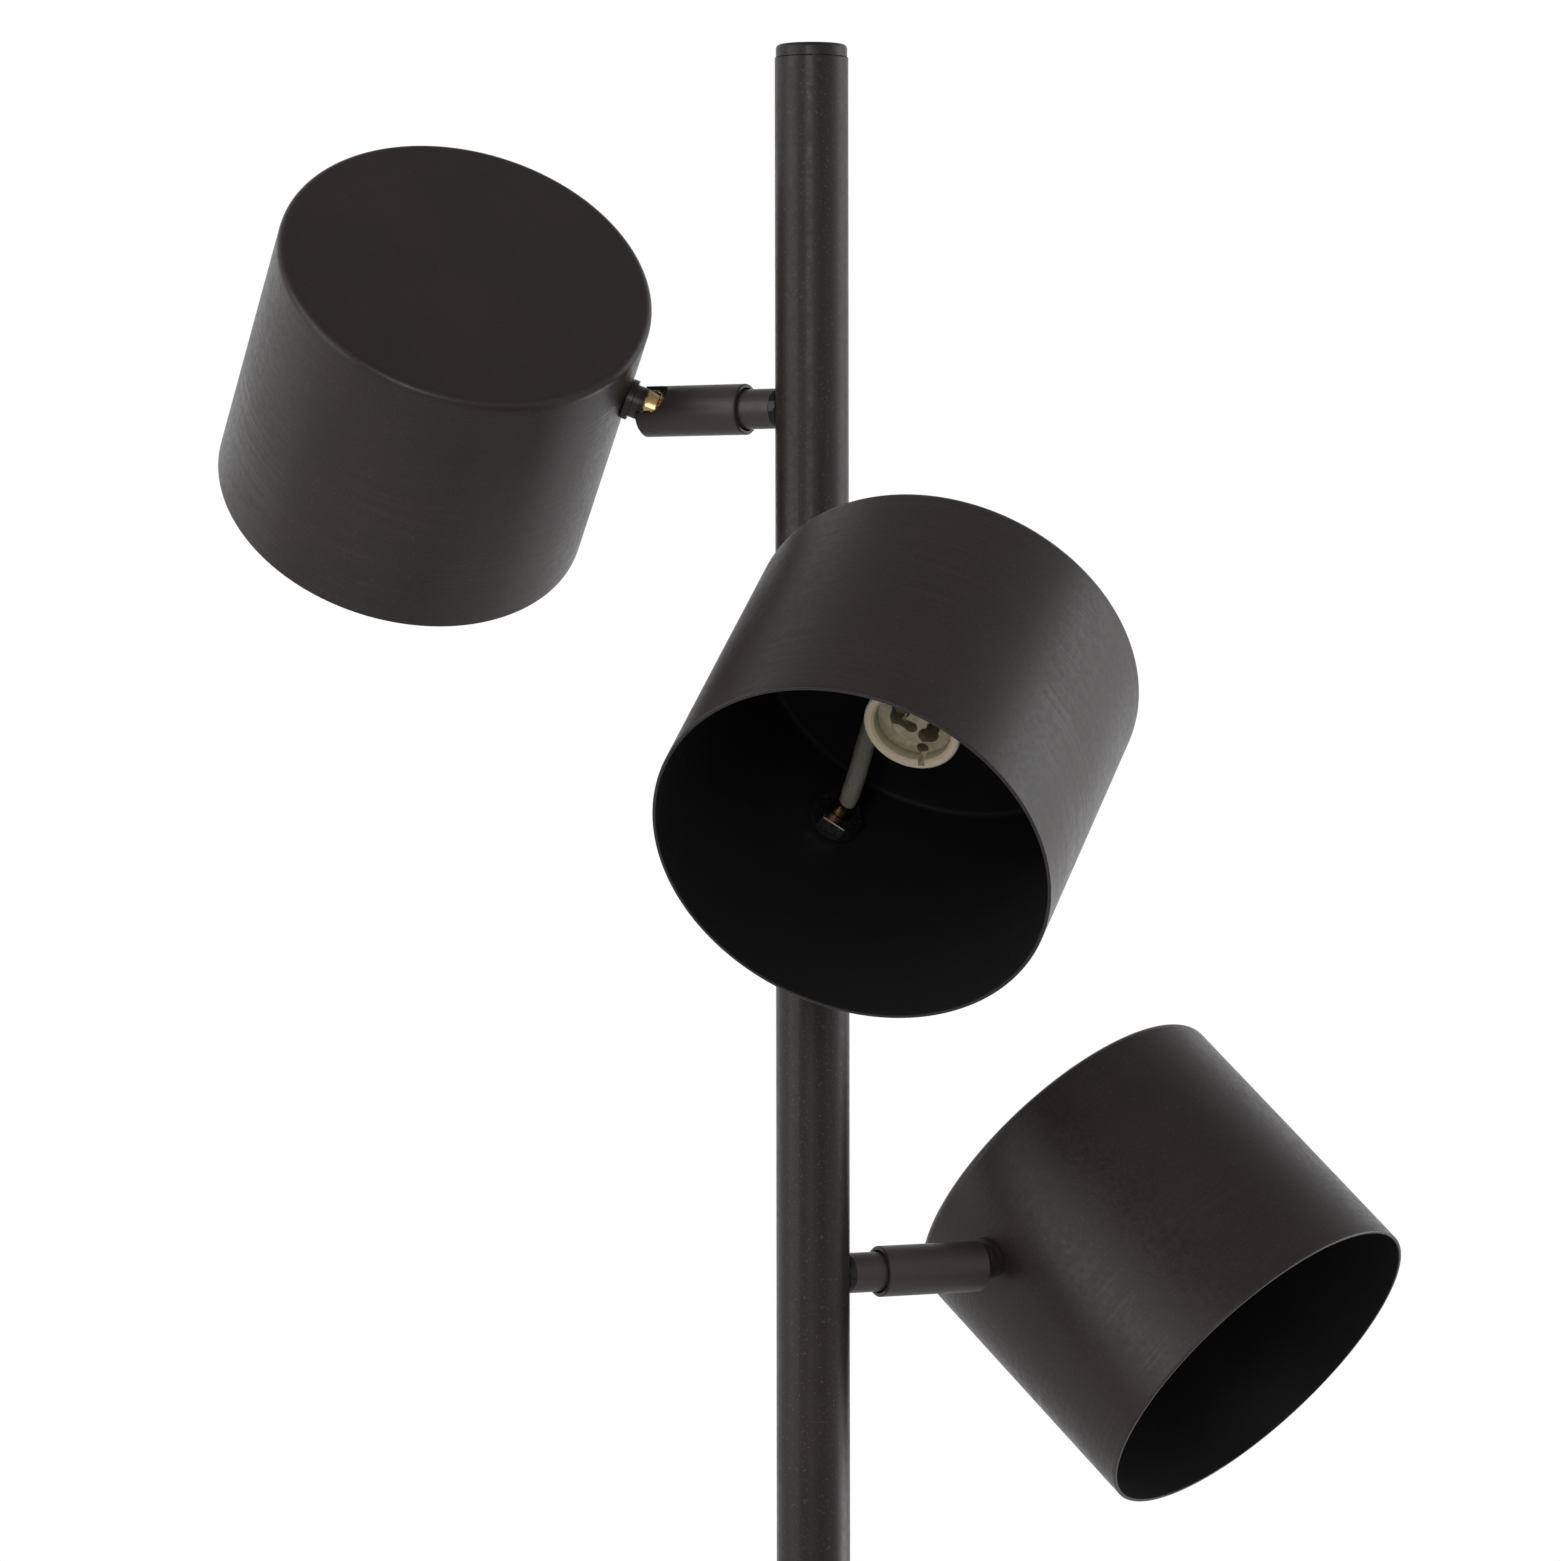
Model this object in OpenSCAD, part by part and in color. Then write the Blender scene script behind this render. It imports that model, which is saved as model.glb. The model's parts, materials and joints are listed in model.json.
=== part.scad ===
// Free-standing floor lamp: a slim pole on a weighted round base, with three spot heads on short
// arms. Each head swivels round its arm and tilts on a forked knuckle in a slotted sleeve.
// The origin is on the floor at the centre of the base, +Z is up and -Y is the front.

/* [Pole] */
// Height from the floor to the top of the pole cap
lamp_height = 1500; // [1350:10:1650]
// Outer diameter of the pole
pole_d = 20; // [19:0.5:24]
// Wall thickness of the pole tubes
pole_wall = 1.2; // [0.8:0.1:1.5]
// Height of the end cap above the pole tube
cap_height = 3.6; // [2.5:0.1:6]
// Distance that couplers, foot and cap reach into the pole tubes
pole_grip = 20; // [12:1:30]

/* [Base] */
// Diameter of the base cover
base_d = 250; // [220:5:300]
// Height of the base cover above the floor
base_height = 21.2; // [20:0.2:28]
// Sheet thickness of the base cover
base_wall = 1.2; // [0.8:0.1:2]
// Radius of the rounded top edge of the base cover
base_edge_r = 6; // [3:0.5:9]
// Thickness of the foam disc under the base
pad_height = 2; // [1.5:0.25:3]
// Outer diameter of the threaded foot stud
foot_stud_d = 16; // [15:0.5:17]
// Diameter of the supply cable inside the lamp
cable_d = 5.2; // [4.5:0.1:5.6]

/* [Arms] */
// Distance from the top of the cap down to the axis of the upper arm
arm_drop = 98.5; // [70:0.5:140]
// Vertical distance from one arm to the next
arm_step = 118; // [110:1:130]
// Turn of the upper arm round the pole, counted from +X
first_arm_turn = 150; // [0:5:355]
// Turn round the pole from one arm to the next one down
arm_turn_step = 120; // [100:5:140]
// Outer diameter of the arm tube
arm_d = 11; // [10.5:0.1:11.2]
// Bore of the arm tube
arm_bore_d = 8.1; // [7.8:0.1:8.4]
// Distance from the pole surface to the end of the arm tube, filled by the saddle washer
saddle_gap = 0.8; // [0.6:0.1:2]
// Outer diameter of the threaded nipple that holds an arm to the pole
nipple_d = 7; // [6.5:0.1:7.4]
// Diameter of the lead inside an arm
arm_lead_d = 2.6; // [2:0.1:2.6]

/* [Swivel sleeve] */
// Outer diameter of the swivel sleeve
sleeve_d = 14; // [13.8:0.1:15]
// Wall thickness of the swivel sleeve
sleeve_wall = 1; // [0.8:0.05:1.05]
// Distance from the pole axis to the near end of the sleeve
sleeve_start = 20.5; // [18:0.5:24]
// Distance from the pole axis to the tilt pin
pivot_reach = 48; // [46:0.5:56]
// Distance from the tilt pin to the open end of the sleeve
sleeve_nose = 4.5; // [4:0.1:5.2]
// Total swivel travel between the stops
swivel_travel = 320; // [300:5:324]

/* [Knuckle] */
// Outer diameter of the knuckle body and its collar
knuckle_d = 9.2; // [8.8:0.1:9.4]
// Outer diameter of the collar flange that the shade is clamped against
flange_d = 11.4; // [11:0.1:13]
// Thickness of that flange
flange_t = 1.7; // [1.2:0.1:2]
// Gap between the sleeve and the flange when the head is square to the arm
flange_rise = 1.3; // [1.1:0.1:3.3]
// Outer diameter of the threaded stem of the knuckle
stem_d = 6; // [5.9:0.1:6.8]
// Diameter of the tilt pins
tilt_pin_d = 2.6; // [2:0.1:3]

/* [Shade] */
// Outer diameter of a shade
shade_d = 105; // [90:1:115]
// Length of a shade
shade_length = 85.5; // [75:0.5:100]
// Sheet thickness of a shade
shade_wall = 1; // [0.7:0.1:1.5]
// Radius of the rounded edge at the closed end
shade_edge_r = 2.5; // [1.6:0.1:5]
// Distance from the closed end to the knuckle stem
stem_offset = 21.5; // [19:0.5:26]
// Width across the flats of the nut inside the shade
shade_nut_flats = 12; // [11:0.5:14]
// Diameter of the sleeved lead inside the shade
lead_d = 4.7; // [4:0.1:4.7]

/* [Lampholder] */
// Outer diameter of the ceramic lampholder
holder_d = 26; // [25:0.5:28]
// Distance from the closed end of the shade to the face of the lampholder
holder_face = 32; // [30:0.5:36]
// Depth of the ceramic lampholder
holder_depth = 16; // [15:0.5:17]
// Distance between the two lamp pins
pin_spacing = 10; // [10:1:10]
// Diameter of the round end of each pin slot
pin_slot_d = 5.2; // [5:0.1:5.6]
// Width of the narrow end of each pin slot
pin_slot_w = 3.3; // [3:0.1:3.6]

/* [Upper head at rest] */
// Swivel of the upper sleeve, with its slot upwards at zero
upper_swivel = -50.6; // [-150:0.1:150]
// Tilt of the upper knuckle from straight out along the arm
upper_tilt = 35.3; // [0:0.1:90]
// Angle at which the upper shade is clamped round its stem
upper_clamp = 13.7; // [-20:0.1:20]

/* [Middle head at rest] */
// Swivel of the middle sleeve, with its slot upwards at zero
middle_swivel = -37.3; // [-150:0.1:150]
// Tilt of the middle knuckle from straight out along the arm
middle_tilt = 49.1; // [0:0.1:90]
// Angle at which the middle shade is clamped round its stem
middle_clamp = 6.8; // [-20:0.1:20]

/* [Lower head at rest] */
// Swivel of the lower sleeve, with its slot upwards at zero
lower_swivel = -53.2; // [-150:0.1:150]
// Tilt of the lower knuckle from straight out along the arm
lower_tilt = 19.5; // [0:0.1:90]
// Angle at which the lower shade is clamped round its stem
lower_clamp = 7.1; // [-20:0.1:20]

/* [Hidden] */
$fn = 64;
eps = 0.01;

HEADS = ["upper", "middle", "lower"];
HEAD_PIECES = ["arm_tube", "swivel_plug", "swivel_sleeve", "stop_screw", "tilt_pins",
    "tilt_washers", "knuckle", "knuckle_collar", "shade", "shade_washer", "shade_nut",
    "lampholder", "holder_bracket", "holder_screws", "shade_lead"];

// Clearances
press_gap = 0.02;    // a part pressed or screwed into another of the same body
slip_gap = 0.05;     // a part that is slid into another, and a running fit
free_gap = 0.3;      // parts that move past each other

// Pole and base
pole_r = pole_d / 2;
pole_bore_r = pole_r - pole_wall;
plug_r = pole_bore_r - slip_gap;
pole_top = lamp_height - cap_height;
tube_len = round((pole_top - base_height) / 3);
seams = [base_height + tube_len, base_height + 2 * tube_len];
coupler_bore_r = plug_r - 2.2;
base_r = base_d / 2;
weight_r = base_r - base_wall - 2.5;
weight_top = base_height - base_wall;
weight_edge = base_edge_r - base_wall;
cover_lift = 1;
recess_r = 22;
recess_top = weight_top - 5;
nut_flange_t = 1.5;
base_nut_flats = foot_stud_d * 1.5;
stud_r = foot_stud_d / 2;
stud_bore_r = stud_r - 2.75;
cable_r = cable_d / 2;
cable_z = pad_height + 0.6 + cable_r;
cable_bend = cable_r + 3.4;
groove_w = cable_d + 2.8;
stud_end = cable_z + cable_r + 0.9;
base_nut_t = recess_top - nut_flange_t - stud_end - 0.4;
grommet_r = 4.5;
cable_end = base_r - 14;

// Arms, in a frame with X outwards along the arm, its origin on the pole axis
saddle_r = arm_d / 2 + 0.2;
tube_start = pole_r + saddle_gap;
nipple_r = nipple_d / 2;
nipple_bore_r = nipple_r - 1.4;
arm_nut_flats = nipple_d * 10 / 7;
arm_nut_t = 2.8;
arm_nut_face = sqrt(pow(pole_bore_r, 2) - pow(arm_nut_flats / sqrt(3), 2)) - 0.15;
nipple_start = arm_nut_face - arm_nut_t - 0.1;
nipple_end = tube_start + 11;
arm_lead_start = cable_r + 0.3;
arm_lead_r = arm_lead_d / 2;

// Swivel sleeve
sleeve_r = sleeve_d / 2;
sleeve_bore_r = sleeve_r - sleeve_wall;
sleeve_end = pivot_reach + sleeve_nose;
head_end = pivot_reach - knuckle_d / 2 - 1.2;
head_len = 6.2;
head_start = head_end - head_len;
plug_spigot = 8;
stop_screw_r = 1;
stop_x = (head_start + head_end) / 2;
stop_groove_w = 2 * (stop_screw_r + free_gap);
stop_groove_r = sleeve_bore_r - 1.4;
stop_side = 225;
stop_tip = stop_groove_r + free_gap;
lug_half_angle = 180 - swivel_travel / 2 - asin((stop_screw_r + free_gap) / stop_tip);

// Knuckle, in a frame with X out along the stem and the tilt pin on Y
pivot_to_shade = sleeve_r + flange_rise + flange_t;
knuckle_r = knuckle_d / 2;
slot_r = knuckle_r + free_gap;
body_bore_r = knuckle_r - 1.4;
body_start = arm_lead_r + free_gap;
body_end = pivot_to_shade - 3.7;
ear_r = 3.2;
fork_w = arm_lead_d + 2 * free_gap;
stem_r = stem_d / 2;
stem_bore_r = lead_d / 2 + 0.1;
stem_reach = 10.2;
tilt_pin_r = tilt_pin_d / 2;
washer_r = 2.6;
washer_face = sqrt(pow(sleeve_bore_r, 2) - pow(washer_r, 2)) - 0.1;

// Shade, in a frame with Z up to the closed end at zero and X towards the stem
shade_r = shade_d / 2;
shade_in_r = shade_r - shade_wall;
nut_washer_r = 7.2;
shade_washer_t = 0.8;
shade_washer_face = sqrt(pow(shade_in_r, 2) - pow(nut_washer_r, 2)) - 0.05;
shade_nut_t = 4;
shade_nut_face = shade_washer_face - shade_washer_t;

// Lampholder
holder_r = holder_d / 2;
holder_back = holder_face - holder_depth;
holder_rim_w = 2.6;
face_recess = 3.4;
hub_r = 6;
hub_rise = 1;
flange_len = 8;
body_r = holder_r - 1.5;
pin_ring_r = pin_spacing / 2;
pin_slot_turn = 38;
pin_slot_side = 103;
fixing_r = 8.6;
fixing_side = -43;
fixing_hole_r = 1.6;
strap_w = 9;
strap_t = 1;
fixing_head_r = 2.7;
strap_half = fixing_r + fixing_head_r + 0.3 + strap_t;
strap_foot = 5.5;

swivel_rest = [upper_swivel, middle_swivel, lower_swivel];
tilt_rest = [upper_tilt, middle_tilt, lower_tilt];
clamp_rest = [upper_clamp, middle_clamp, lower_clamp];

function arm_z(i) = lamp_height - arm_drop - i * arm_step;
function arm_turn(i) = first_arm_turn + i * arm_turn_step;

// ---------------------------------------------------------------- frames

module on_arm(i)
    translate([0, 0, arm_z(i)]) rotate([0, 0, arm_turn(i)]) children();

module on_sleeve(i)
    on_arm(i) translate([pivot_reach, 0, 0]) rotate([swivel_rest[i], 0, 0]) children();

module on_knuckle(i)
    on_sleeve(i) rotate([0, -tilt_rest[i], 0]) children();

module on_shade(i)
    on_knuckle(i) rotate([clamp_rest[i], 0, 0])
        translate([pivot_to_shade + shade_r, 0, stem_offset]) rotate([0, 0, 180]) children();

// ---------------------------------------------------------------- shared shapes

// Cylinder along X from x0 to x1
module rod_x(x0, x1, r)
    translate([x0, 0, 0]) rotate([0, 90, 0]) cylinder(h = x1 - x0, r = r);

// Tube along X from x0 to x1
module tube_x(x0, x1, r, bore)
    difference() {
        rod_x(x0, x1, r);
        rod_x(x0 - 1, x1 + 1, bore);
    }

// Tube along Z from z0 to z1
module tube_z(z0, z1, r, bore)
    translate([0, 0, z0]) difference() {
        cylinder(h = z1 - z0, r = r);
        translate([0, 0, -1]) cylinder(h = z1 - z0 + 2, r = bore);
    }

// Hexagon bar along X with two flats facing up and down
module hex_x(x0, x1, flats)
    translate([x0, 0, 0]) rotate([0, 90, 0]) rotate([0, 0, 90])
        cylinder(h = x1 - x0, r = flats / sqrt(3), $fn = 6);

// ---------------------------------------------------------------- base

// Section of a disc with a rounded top edge
module disc_section(r, z0, z1, edge)
    union() {
        translate([0, z0]) square([r, z1 - z0 - edge]);
        translate([0, z0]) square([r - edge, z1 - z0]);
        translate([r - edge, z1 - edge]) circle(r = edge);
    }

module base_cover()
    color("#34302e") difference() {
        rotate_extrude($fn = 128) difference() {
            disc_section(base_r, cover_lift, base_height, base_edge_r);
            translate([0, -1]) disc_section(base_r - base_wall, cover_lift - 1, weight_top + 1,
                base_edge_r - base_wall);
            translate([-1, 0]) square([stud_r + 0.2 + 1, base_height + 1]);
        }
        translate([0, base_r, cable_z]) rotate([90, 0, 0])
            cylinder(h = 2 * base_wall + 4, r = grommet_r, center = true);
    }

module base_weight()
    color("#55585a") difference() {
        rotate_extrude($fn = 128) difference() {
            disc_section(weight_r, pad_height, weight_top, weight_edge);
            translate([-1, -1]) square([recess_r + 1, recess_top + 1]);
            translate([-1, 0]) square([stud_r + 0.3 + 1, base_height]);
        }
        translate([-groove_w / 2, 0, pad_height - 1])
            cube([groove_w, base_r, cable_d + 1.6 + 1]);
    }

module base_pad()
    color("#202020") cylinder(h = pad_height, r = weight_r - 4, $fn = 128);

// Flanged nut that pulls the foot stud down into the weight
module base_nut()
    color("#b0a060") difference() {
        union() {
            translate([0, 0, recess_top - nut_flange_t])
                cylinder(h = nut_flange_t, r = recess_r - 3);
            translate([0, 0, recess_top - nut_flange_t - base_nut_t])
                cylinder(h = base_nut_t + eps, r = base_nut_flats / sqrt(3), $fn = 6);
        }
        translate([0, 0, stud_end - 1]) cylinder(h = recess_top, r = stud_r + press_gap);
    }

module cable_grommet()
    color("#1b1b1b") translate([0, base_r, cable_z]) rotate([90, 0, 0]) {
        difference() {
            union() {
                translate([0, 0, -1.6]) cylinder(h = 1.5, r = grommet_r + 1.2);
                translate([0, 0, -0.5]) cylinder(h = base_wall + 1.4, r = grommet_r - slip_gap);
                translate([0, 0, base_wall + 0.2]) cylinder(h = 1.5, r = grommet_r + 1);
            }
            translate([0, 0, -5]) cylinder(h = 12, r = cable_r + 0.1);
        }
    }

// ---------------------------------------------------------------- pole

// Turned foot: a spigot in the pole and a hollow stud down through the base
module pole_foot()
    color("#8d8f92") difference() {
        union() {
            translate([0, 0, base_height]) cylinder(h = pole_grip, r = plug_r);
            translate([0, 0, stud_end]) cylinder(h = base_height - stud_end + 1, r = stud_r);
        }
        translate([0, 0, stud_end - 1])
            cylinder(h = base_height + pole_grip - stud_end + 2, r = stud_bore_r);
    }

module pole_lower()
    color("#403b39") tube_z(base_height, seams[0], pole_r, pole_bore_r);

module pole_middle()
    color("#403b39") tube_z(seams[0], seams[1], pole_r, pole_bore_r);

module pole_upper()
    color("#403b39") difference() {
        tube_z(seams[1], pole_top, pole_r, pole_bore_r);
        for (i = [0:2]) on_arm(i) rod_x(pole_bore_r / 2, pole_r + 2, nipple_r + 0.1);
    }

module pole_couplers()
    color("#8d8f92")
        for (z = seams) tube_z(z - pole_grip, z + pole_grip, plug_r, coupler_bore_r);

// End cap with a softly rounded rim, a hair smaller than the pole
module pole_cap()
    color("#403b39") translate([0, 0, pole_top]) {
        rotate_extrude() disc_section(pole_r - 0.3, 0, cap_height, 1.2);
        translate([0, 0, -pole_grip / 2]) tube_z(0, pole_grip / 2 + eps, plug_r, plug_r - 1.5);
    }

// Supply cable from the grommet through the base and up the pole, and the lead in each arm
module pole_wiring()
    color("#d8d4cc") {
        translate([0, cable_bend, cable_z]) rotate([-90, 0, 0])
            cylinder(h = cable_end - cable_bend, r = cable_r);
        translate([0, cable_bend, cable_z + cable_bend]) rotate([0, -90, 0])
            rotate([0, 0, 180]) rotate_extrude(angle = 90)
                translate([cable_bend, 0]) circle(r = cable_r);
        translate([0, 0, cable_z + cable_bend])
            cylinder(h = arm_z(0) + 16 - cable_z - cable_bend, r = cable_r);
        for (i = [0:2]) on_arm(i) rod_x(arm_lead_start, pivot_reach + 0.2, arm_lead_r);
    }

// ---------------------------------------------------------------- arms

// Moulded washers that fit the round pole to the flat ends of the arm tubes
module arm_saddles()
    color("#141414") for (i = [0:2]) on_arm(i) difference() {
        tube_x(pole_r - 4, tube_start, saddle_r, nipple_r + 0.1);
        translate([0, 0, -saddle_r - 1]) cylinder(h = 2 * saddle_r + 2, r = pole_r + press_gap);
    }

// Threaded nipples that lead the wires from the pole into the arms
module arm_nipples()
    color("#b59a4c") for (i = [0:2]) on_arm(i)
        tube_x(nipple_start, nipple_end, nipple_r, nipple_bore_r);

module arm_nuts()
    color("#b59a4c") for (i = [0:2]) on_arm(i) difference() {
        hex_x(arm_nut_face - arm_nut_t, arm_nut_face, arm_nut_flats);
        rod_x(0, pole_r, nipple_r + press_gap);
    }

// The first stretch of the bore is threaded for the nipple, the rest clears the plug's spigot
module arm_tube(i)
    color("#403b39") on_arm(i) difference() {
        rod_x(tube_start, head_start, arm_d / 2);
        rod_x(tube_start - 1, nipple_end + 1, nipple_r + press_gap);
        rod_x(nipple_end + 1 - eps, head_start + 1, arm_bore_d / 2);
    }

// ---------------------------------------------------------------- swivel

// Brass plug in the end of the arm tube. The sleeve turns on its head, and the tip of the stop
// screw runs in its groove, round to the lug.
module swivel_plug(i)
    color("#b59a4c") on_arm(i) difference() {
        union() {
            rod_x(head_start - plug_spigot, head_start + eps, arm_bore_d / 2 - press_gap);
            rod_x(head_start, head_end, sleeve_bore_r - slip_gap);
        }
        difference() {
            tube_x(stop_x - stop_groove_w / 2, stop_x + stop_groove_w / 2, sleeve_r,
                stop_groove_r);
            rotate([stop_side + 180, 0, 0]) rotate([90, 0, 90])
                linear_extrude(height = head_end) lug_wedge();
        }
        rod_x(0, head_end + 1, arm_lead_r + free_gap);
    }

// Wedge that the groove leaves standing, pointing up
module lug_wedge()
    polygon([[0, 0], for (side = [1, -1])
        2 * sleeve_r * [side * sin(lug_half_angle), cos(lug_half_angle)]]);

// Sleeve with a slot from its open end, along which the knuckle tilts from straight out to square
module swivel_sleeve(i)
    color("#403b39") on_sleeve(i) difference() {
        translate([sleeve_start - pivot_reach, 0, 0]) rotate([0, 90, 0])
            rotate_extrude() sleeve_section();
        cylinder(h = sleeve_d, r = slot_r);
        translate([0, -slot_r, 0]) cube([sleeve_nose + 1, 2 * slot_r, sleeve_d]);
        for (side = [90, -90]) rotate([side, 0, 0]) cylinder(h = sleeve_d, r = tilt_pin_r + press_gap);
        on_stop() cylinder(h = sleeve_d, r = stop_screw_r + press_gap);
    }

// Half section of the sleeve wall with lightly broken outer edges
module sleeve_section() {
    length = sleeve_end - sleeve_start;
    edge = 0.35;
    polygon([[sleeve_bore_r, 0], [sleeve_r - edge, 0], [sleeve_r, edge], [sleeve_r, length - edge],
        [sleeve_r - edge, length], [sleeve_bore_r, length]]);
}

// Frame of the stop screw in the sleeve's frame, with Z out through the wall
module on_stop()
    translate([stop_x - pivot_reach, 0, 0]) rotate([stop_side, 0, 0]) children();

module stop_screw(i)
    color("#303030") on_sleeve(i) on_stop() difference() {
        translate([0, 0, stop_tip]) cylinder(h = sleeve_r - 0.1 - stop_tip, r = stop_screw_r);
        translate([0, 0, sleeve_r - 1]) cylinder(h = 2, r = 0.55, $fn = 6);
    }

module tilt_pins(i)
    color("#403b39") on_sleeve(i)
        for (side = [90, -90]) rotate([side, 0, 0])
            translate([0, 0, body_bore_r + 0.1])
                cylinder(h = sleeve_r - 0.15 - body_bore_r, r = tilt_pin_r);

// Spring washers that give the tilt its friction
module tilt_washers(i)
    color("#8d8f92") on_sleeve(i)
        for (side = [90, -90]) rotate([side, 0, 0])
            tube_z(knuckle_r + slip_gap, washer_face, washer_r, tilt_pin_r + slip_gap);

// ---------------------------------------------------------------- knuckle

// Forked brass knuckle: two ears on the tilt pins, a wide hollow body and a threaded stem
module knuckle(i)
    color("#b59a4c") on_knuckle(i) difference() {
        union() {
            rod_x(body_start, body_end, knuckle_r);
            rod_x(body_end - eps, pivot_to_shade + stem_reach, stem_r);
            intersection() {
                union() {
                    rotate([90, 0, 0])
                        cylinder(h = 2 * knuckle_r, r = ear_r, center = true);
                    translate([0, -knuckle_r, -ear_r])
                        cube([body_start + 1, 2 * knuckle_r, 2 * ear_r]);
                }
                rod_x(-knuckle_r, body_end, knuckle_r + 0.3);
            }
        }
        rod_x(-knuckle_r, body_end - 1.2, body_bore_r);
        translate([-knuckle_r, -fork_w / 2, -knuckle_r])
            cube([knuckle_r + body_start, fork_w, 2 * knuckle_r]);
        rod_x(0, pivot_to_shade + stem_reach + 1, stem_bore_r);
        rotate([90, 0, 0])
            cylinder(h = 4 * knuckle_r, r = tilt_pin_r + slip_gap, center = true);
    }

// Collar on the stem: a neck and the flange that the shade is clamped against
module knuckle_collar(i)
    color("#2b2827") on_knuckle(i) difference() {
        union() {
            rod_x(body_end, pivot_to_shade - flange_t, knuckle_r);
            rod_x(pivot_to_shade - flange_t - eps, pivot_to_shade - slip_gap, flange_d / 2);
        }
        rod_x(0, pivot_to_shade + 1, stem_r + press_gap);
    }

// ---------------------------------------------------------------- shade

// Spun shell: open at the rim, closed at the other end with a rounded edge
module shade(i)
    color("#2f2b2a") on_shade(i) difference() {
        rotate_extrude($fn = 128) difference() {
            shade_section(shade_r, 0, shade_edge_r);
            shade_section(shade_in_r, shade_wall, shade_edge_r - shade_wall);
        }
        translate([0, 0, -stem_offset]) rod_x(shade_in_r - 4, shade_r + 2, stem_r + 0.1);
    }

// Half section of a closed cylinder that hangs down from z = -top
module shade_section(r, top, edge) {
    low = top > 0 ? -shade_length - 1 : -shade_length;
    union() {
        translate([0, low]) square([r, -top - edge - low]);
        translate([0, low]) square([r - edge, -top - low]);
        translate([r - edge, -top - edge]) circle(r = edge);
    }
}

module shade_washer(i)
    color("#8d8f92") on_shade(i) translate([0, 0, -stem_offset])
        tube_x(shade_nut_face, shade_washer_face, nut_washer_r, stem_r + press_gap);

module shade_nut(i)
    color("#3a3836") on_shade(i) translate([0, 0, -stem_offset]) difference() {
        hex_x(shade_nut_face - shade_nut_t, shade_nut_face, shade_nut_flats);
        rod_x(0, shade_r, stem_r + press_gap);
    }

// ---------------------------------------------------------------- lampholder

// Ceramic twist-lock lampholder: a rim round a dished face, and on its raised middle two pin slots
// and a recess
module lampholder(i)
    color("#efe6d6") on_shade(i) difference() {
        rotate_extrude() difference() {
            union() {
                translate([0, -holder_face + flange_len - eps])
                    square([body_r, holder_depth - flange_len + eps]);
                translate([0, -holder_face]) square([holder_r - 0.8, flange_len]);
                translate([0, -holder_face + 0.8]) square([holder_r, flange_len - 1.6]);
                for (z = [0.8, flange_len - 0.8])
                    translate([holder_r - 0.8, -holder_face + z]) circle(r = 0.8);
            }
            translate([0, -holder_face]) dish_section(holder_r - holder_rim_w);
        }
        for (turn = [0, 180]) rotate([0, 0, pin_slot_side + turn]) pin_slot();
        centre_recess();
        on_fixings() {
            translate([0, 0, -holder_face - 1]) cylinder(h = holder_depth + 2, r = fixing_hole_r);
            translate([0, -0.9, -holder_face - 1]) cube([3.2, 1.8, face_recess + 1.8]);
        }
    }

// Half section of the dish in the lampholder's face, with the inner edge of its rim at radius r
module dish_section(r)
    polygon([[-1, -1], [r + 1.6, -1], [r, 0.6], [r - 0.3, face_recess], [hub_r + 0.8, face_recess],
        [hub_r, face_recess - hub_rise], [-1, face_recess - hub_rise]]);

// Round hole for the foot of a lamp pin and the narrower arc that it turns along
module pin_slot() {
    translate([pin_ring_r, 0, -holder_face - 1]) cylinder(h = 12, r = pin_slot_d / 2);
    translate([0, 0, -holder_face - 1]) rotate([0, 0, -pin_slot_turn]) {
        rotate_extrude(angle = pin_slot_turn)
            translate([pin_ring_r - pin_slot_w / 2, 0]) square([pin_slot_w, 8]);
        translate([pin_ring_r, 0, 0]) cylinder(h = 8, r = pin_slot_w / 2);
    }
}

// Round recess near the middle with a groove to the first pin slot
module centre_recess()
    translate([0, 0, -holder_face - 1]) {
        translate([1.5, 0.2, 0]) cylinder(h = face_recess + 3.5, r = 1.8);
        translate([0.2, 0.2, 0]) cube([2.9, pin_ring_r - 0.6, face_recess + 2.5]);
    }

module on_fixings()
    for (turn = [0, 180]) rotate([0, 0, fixing_side + turn]) translate([fixing_r, 0, 0]) children();

// Hat-shaped steel strap from the closed end of the shade to the back of the lampholder
module holder_bracket(i)
    color("#8d8f92") on_shade(i) difference() {
        rotate([0, 0, fixing_side]) translate([0, strap_w / 2, 0]) rotate([90, 0, 0])
            linear_extrude(height = strap_w) difference() {
                union() {
                    translate([-strap_half, -holder_back])
                        square([2 * strap_half, holder_back - shade_wall]);
                    translate([-strap_half - strap_foot, -shade_wall - strap_t])
                        square([2 * (strap_half + strap_foot), strap_t]);
                }
                translate([-strap_half + strap_t, -holder_back + strap_t])
                    square([2 * (strap_half - strap_t), holder_back]);
            }
        on_fixings() translate([0, 0, -holder_back - 1]) cylinder(h = 3, r = fixing_hole_r);
    }

module holder_screws(i)
    color("#b0b2b4") on_shade(i) on_fixings() difference() {
        union() {
            translate([0, 0, -holder_back + strap_t]) cylinder(h = 1.8, r = fixing_head_r);
            translate([0, 0, -holder_back - 7])
                cylinder(h = 7 + strap_t + eps, r = fixing_hole_r - press_gap);
        }
        translate([-0.4, -3, -holder_back + strap_t + 0.9]) cube([0.8, 6, 2]);
    }

// ---------------------------------------------------------------- lead in the shade

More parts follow.
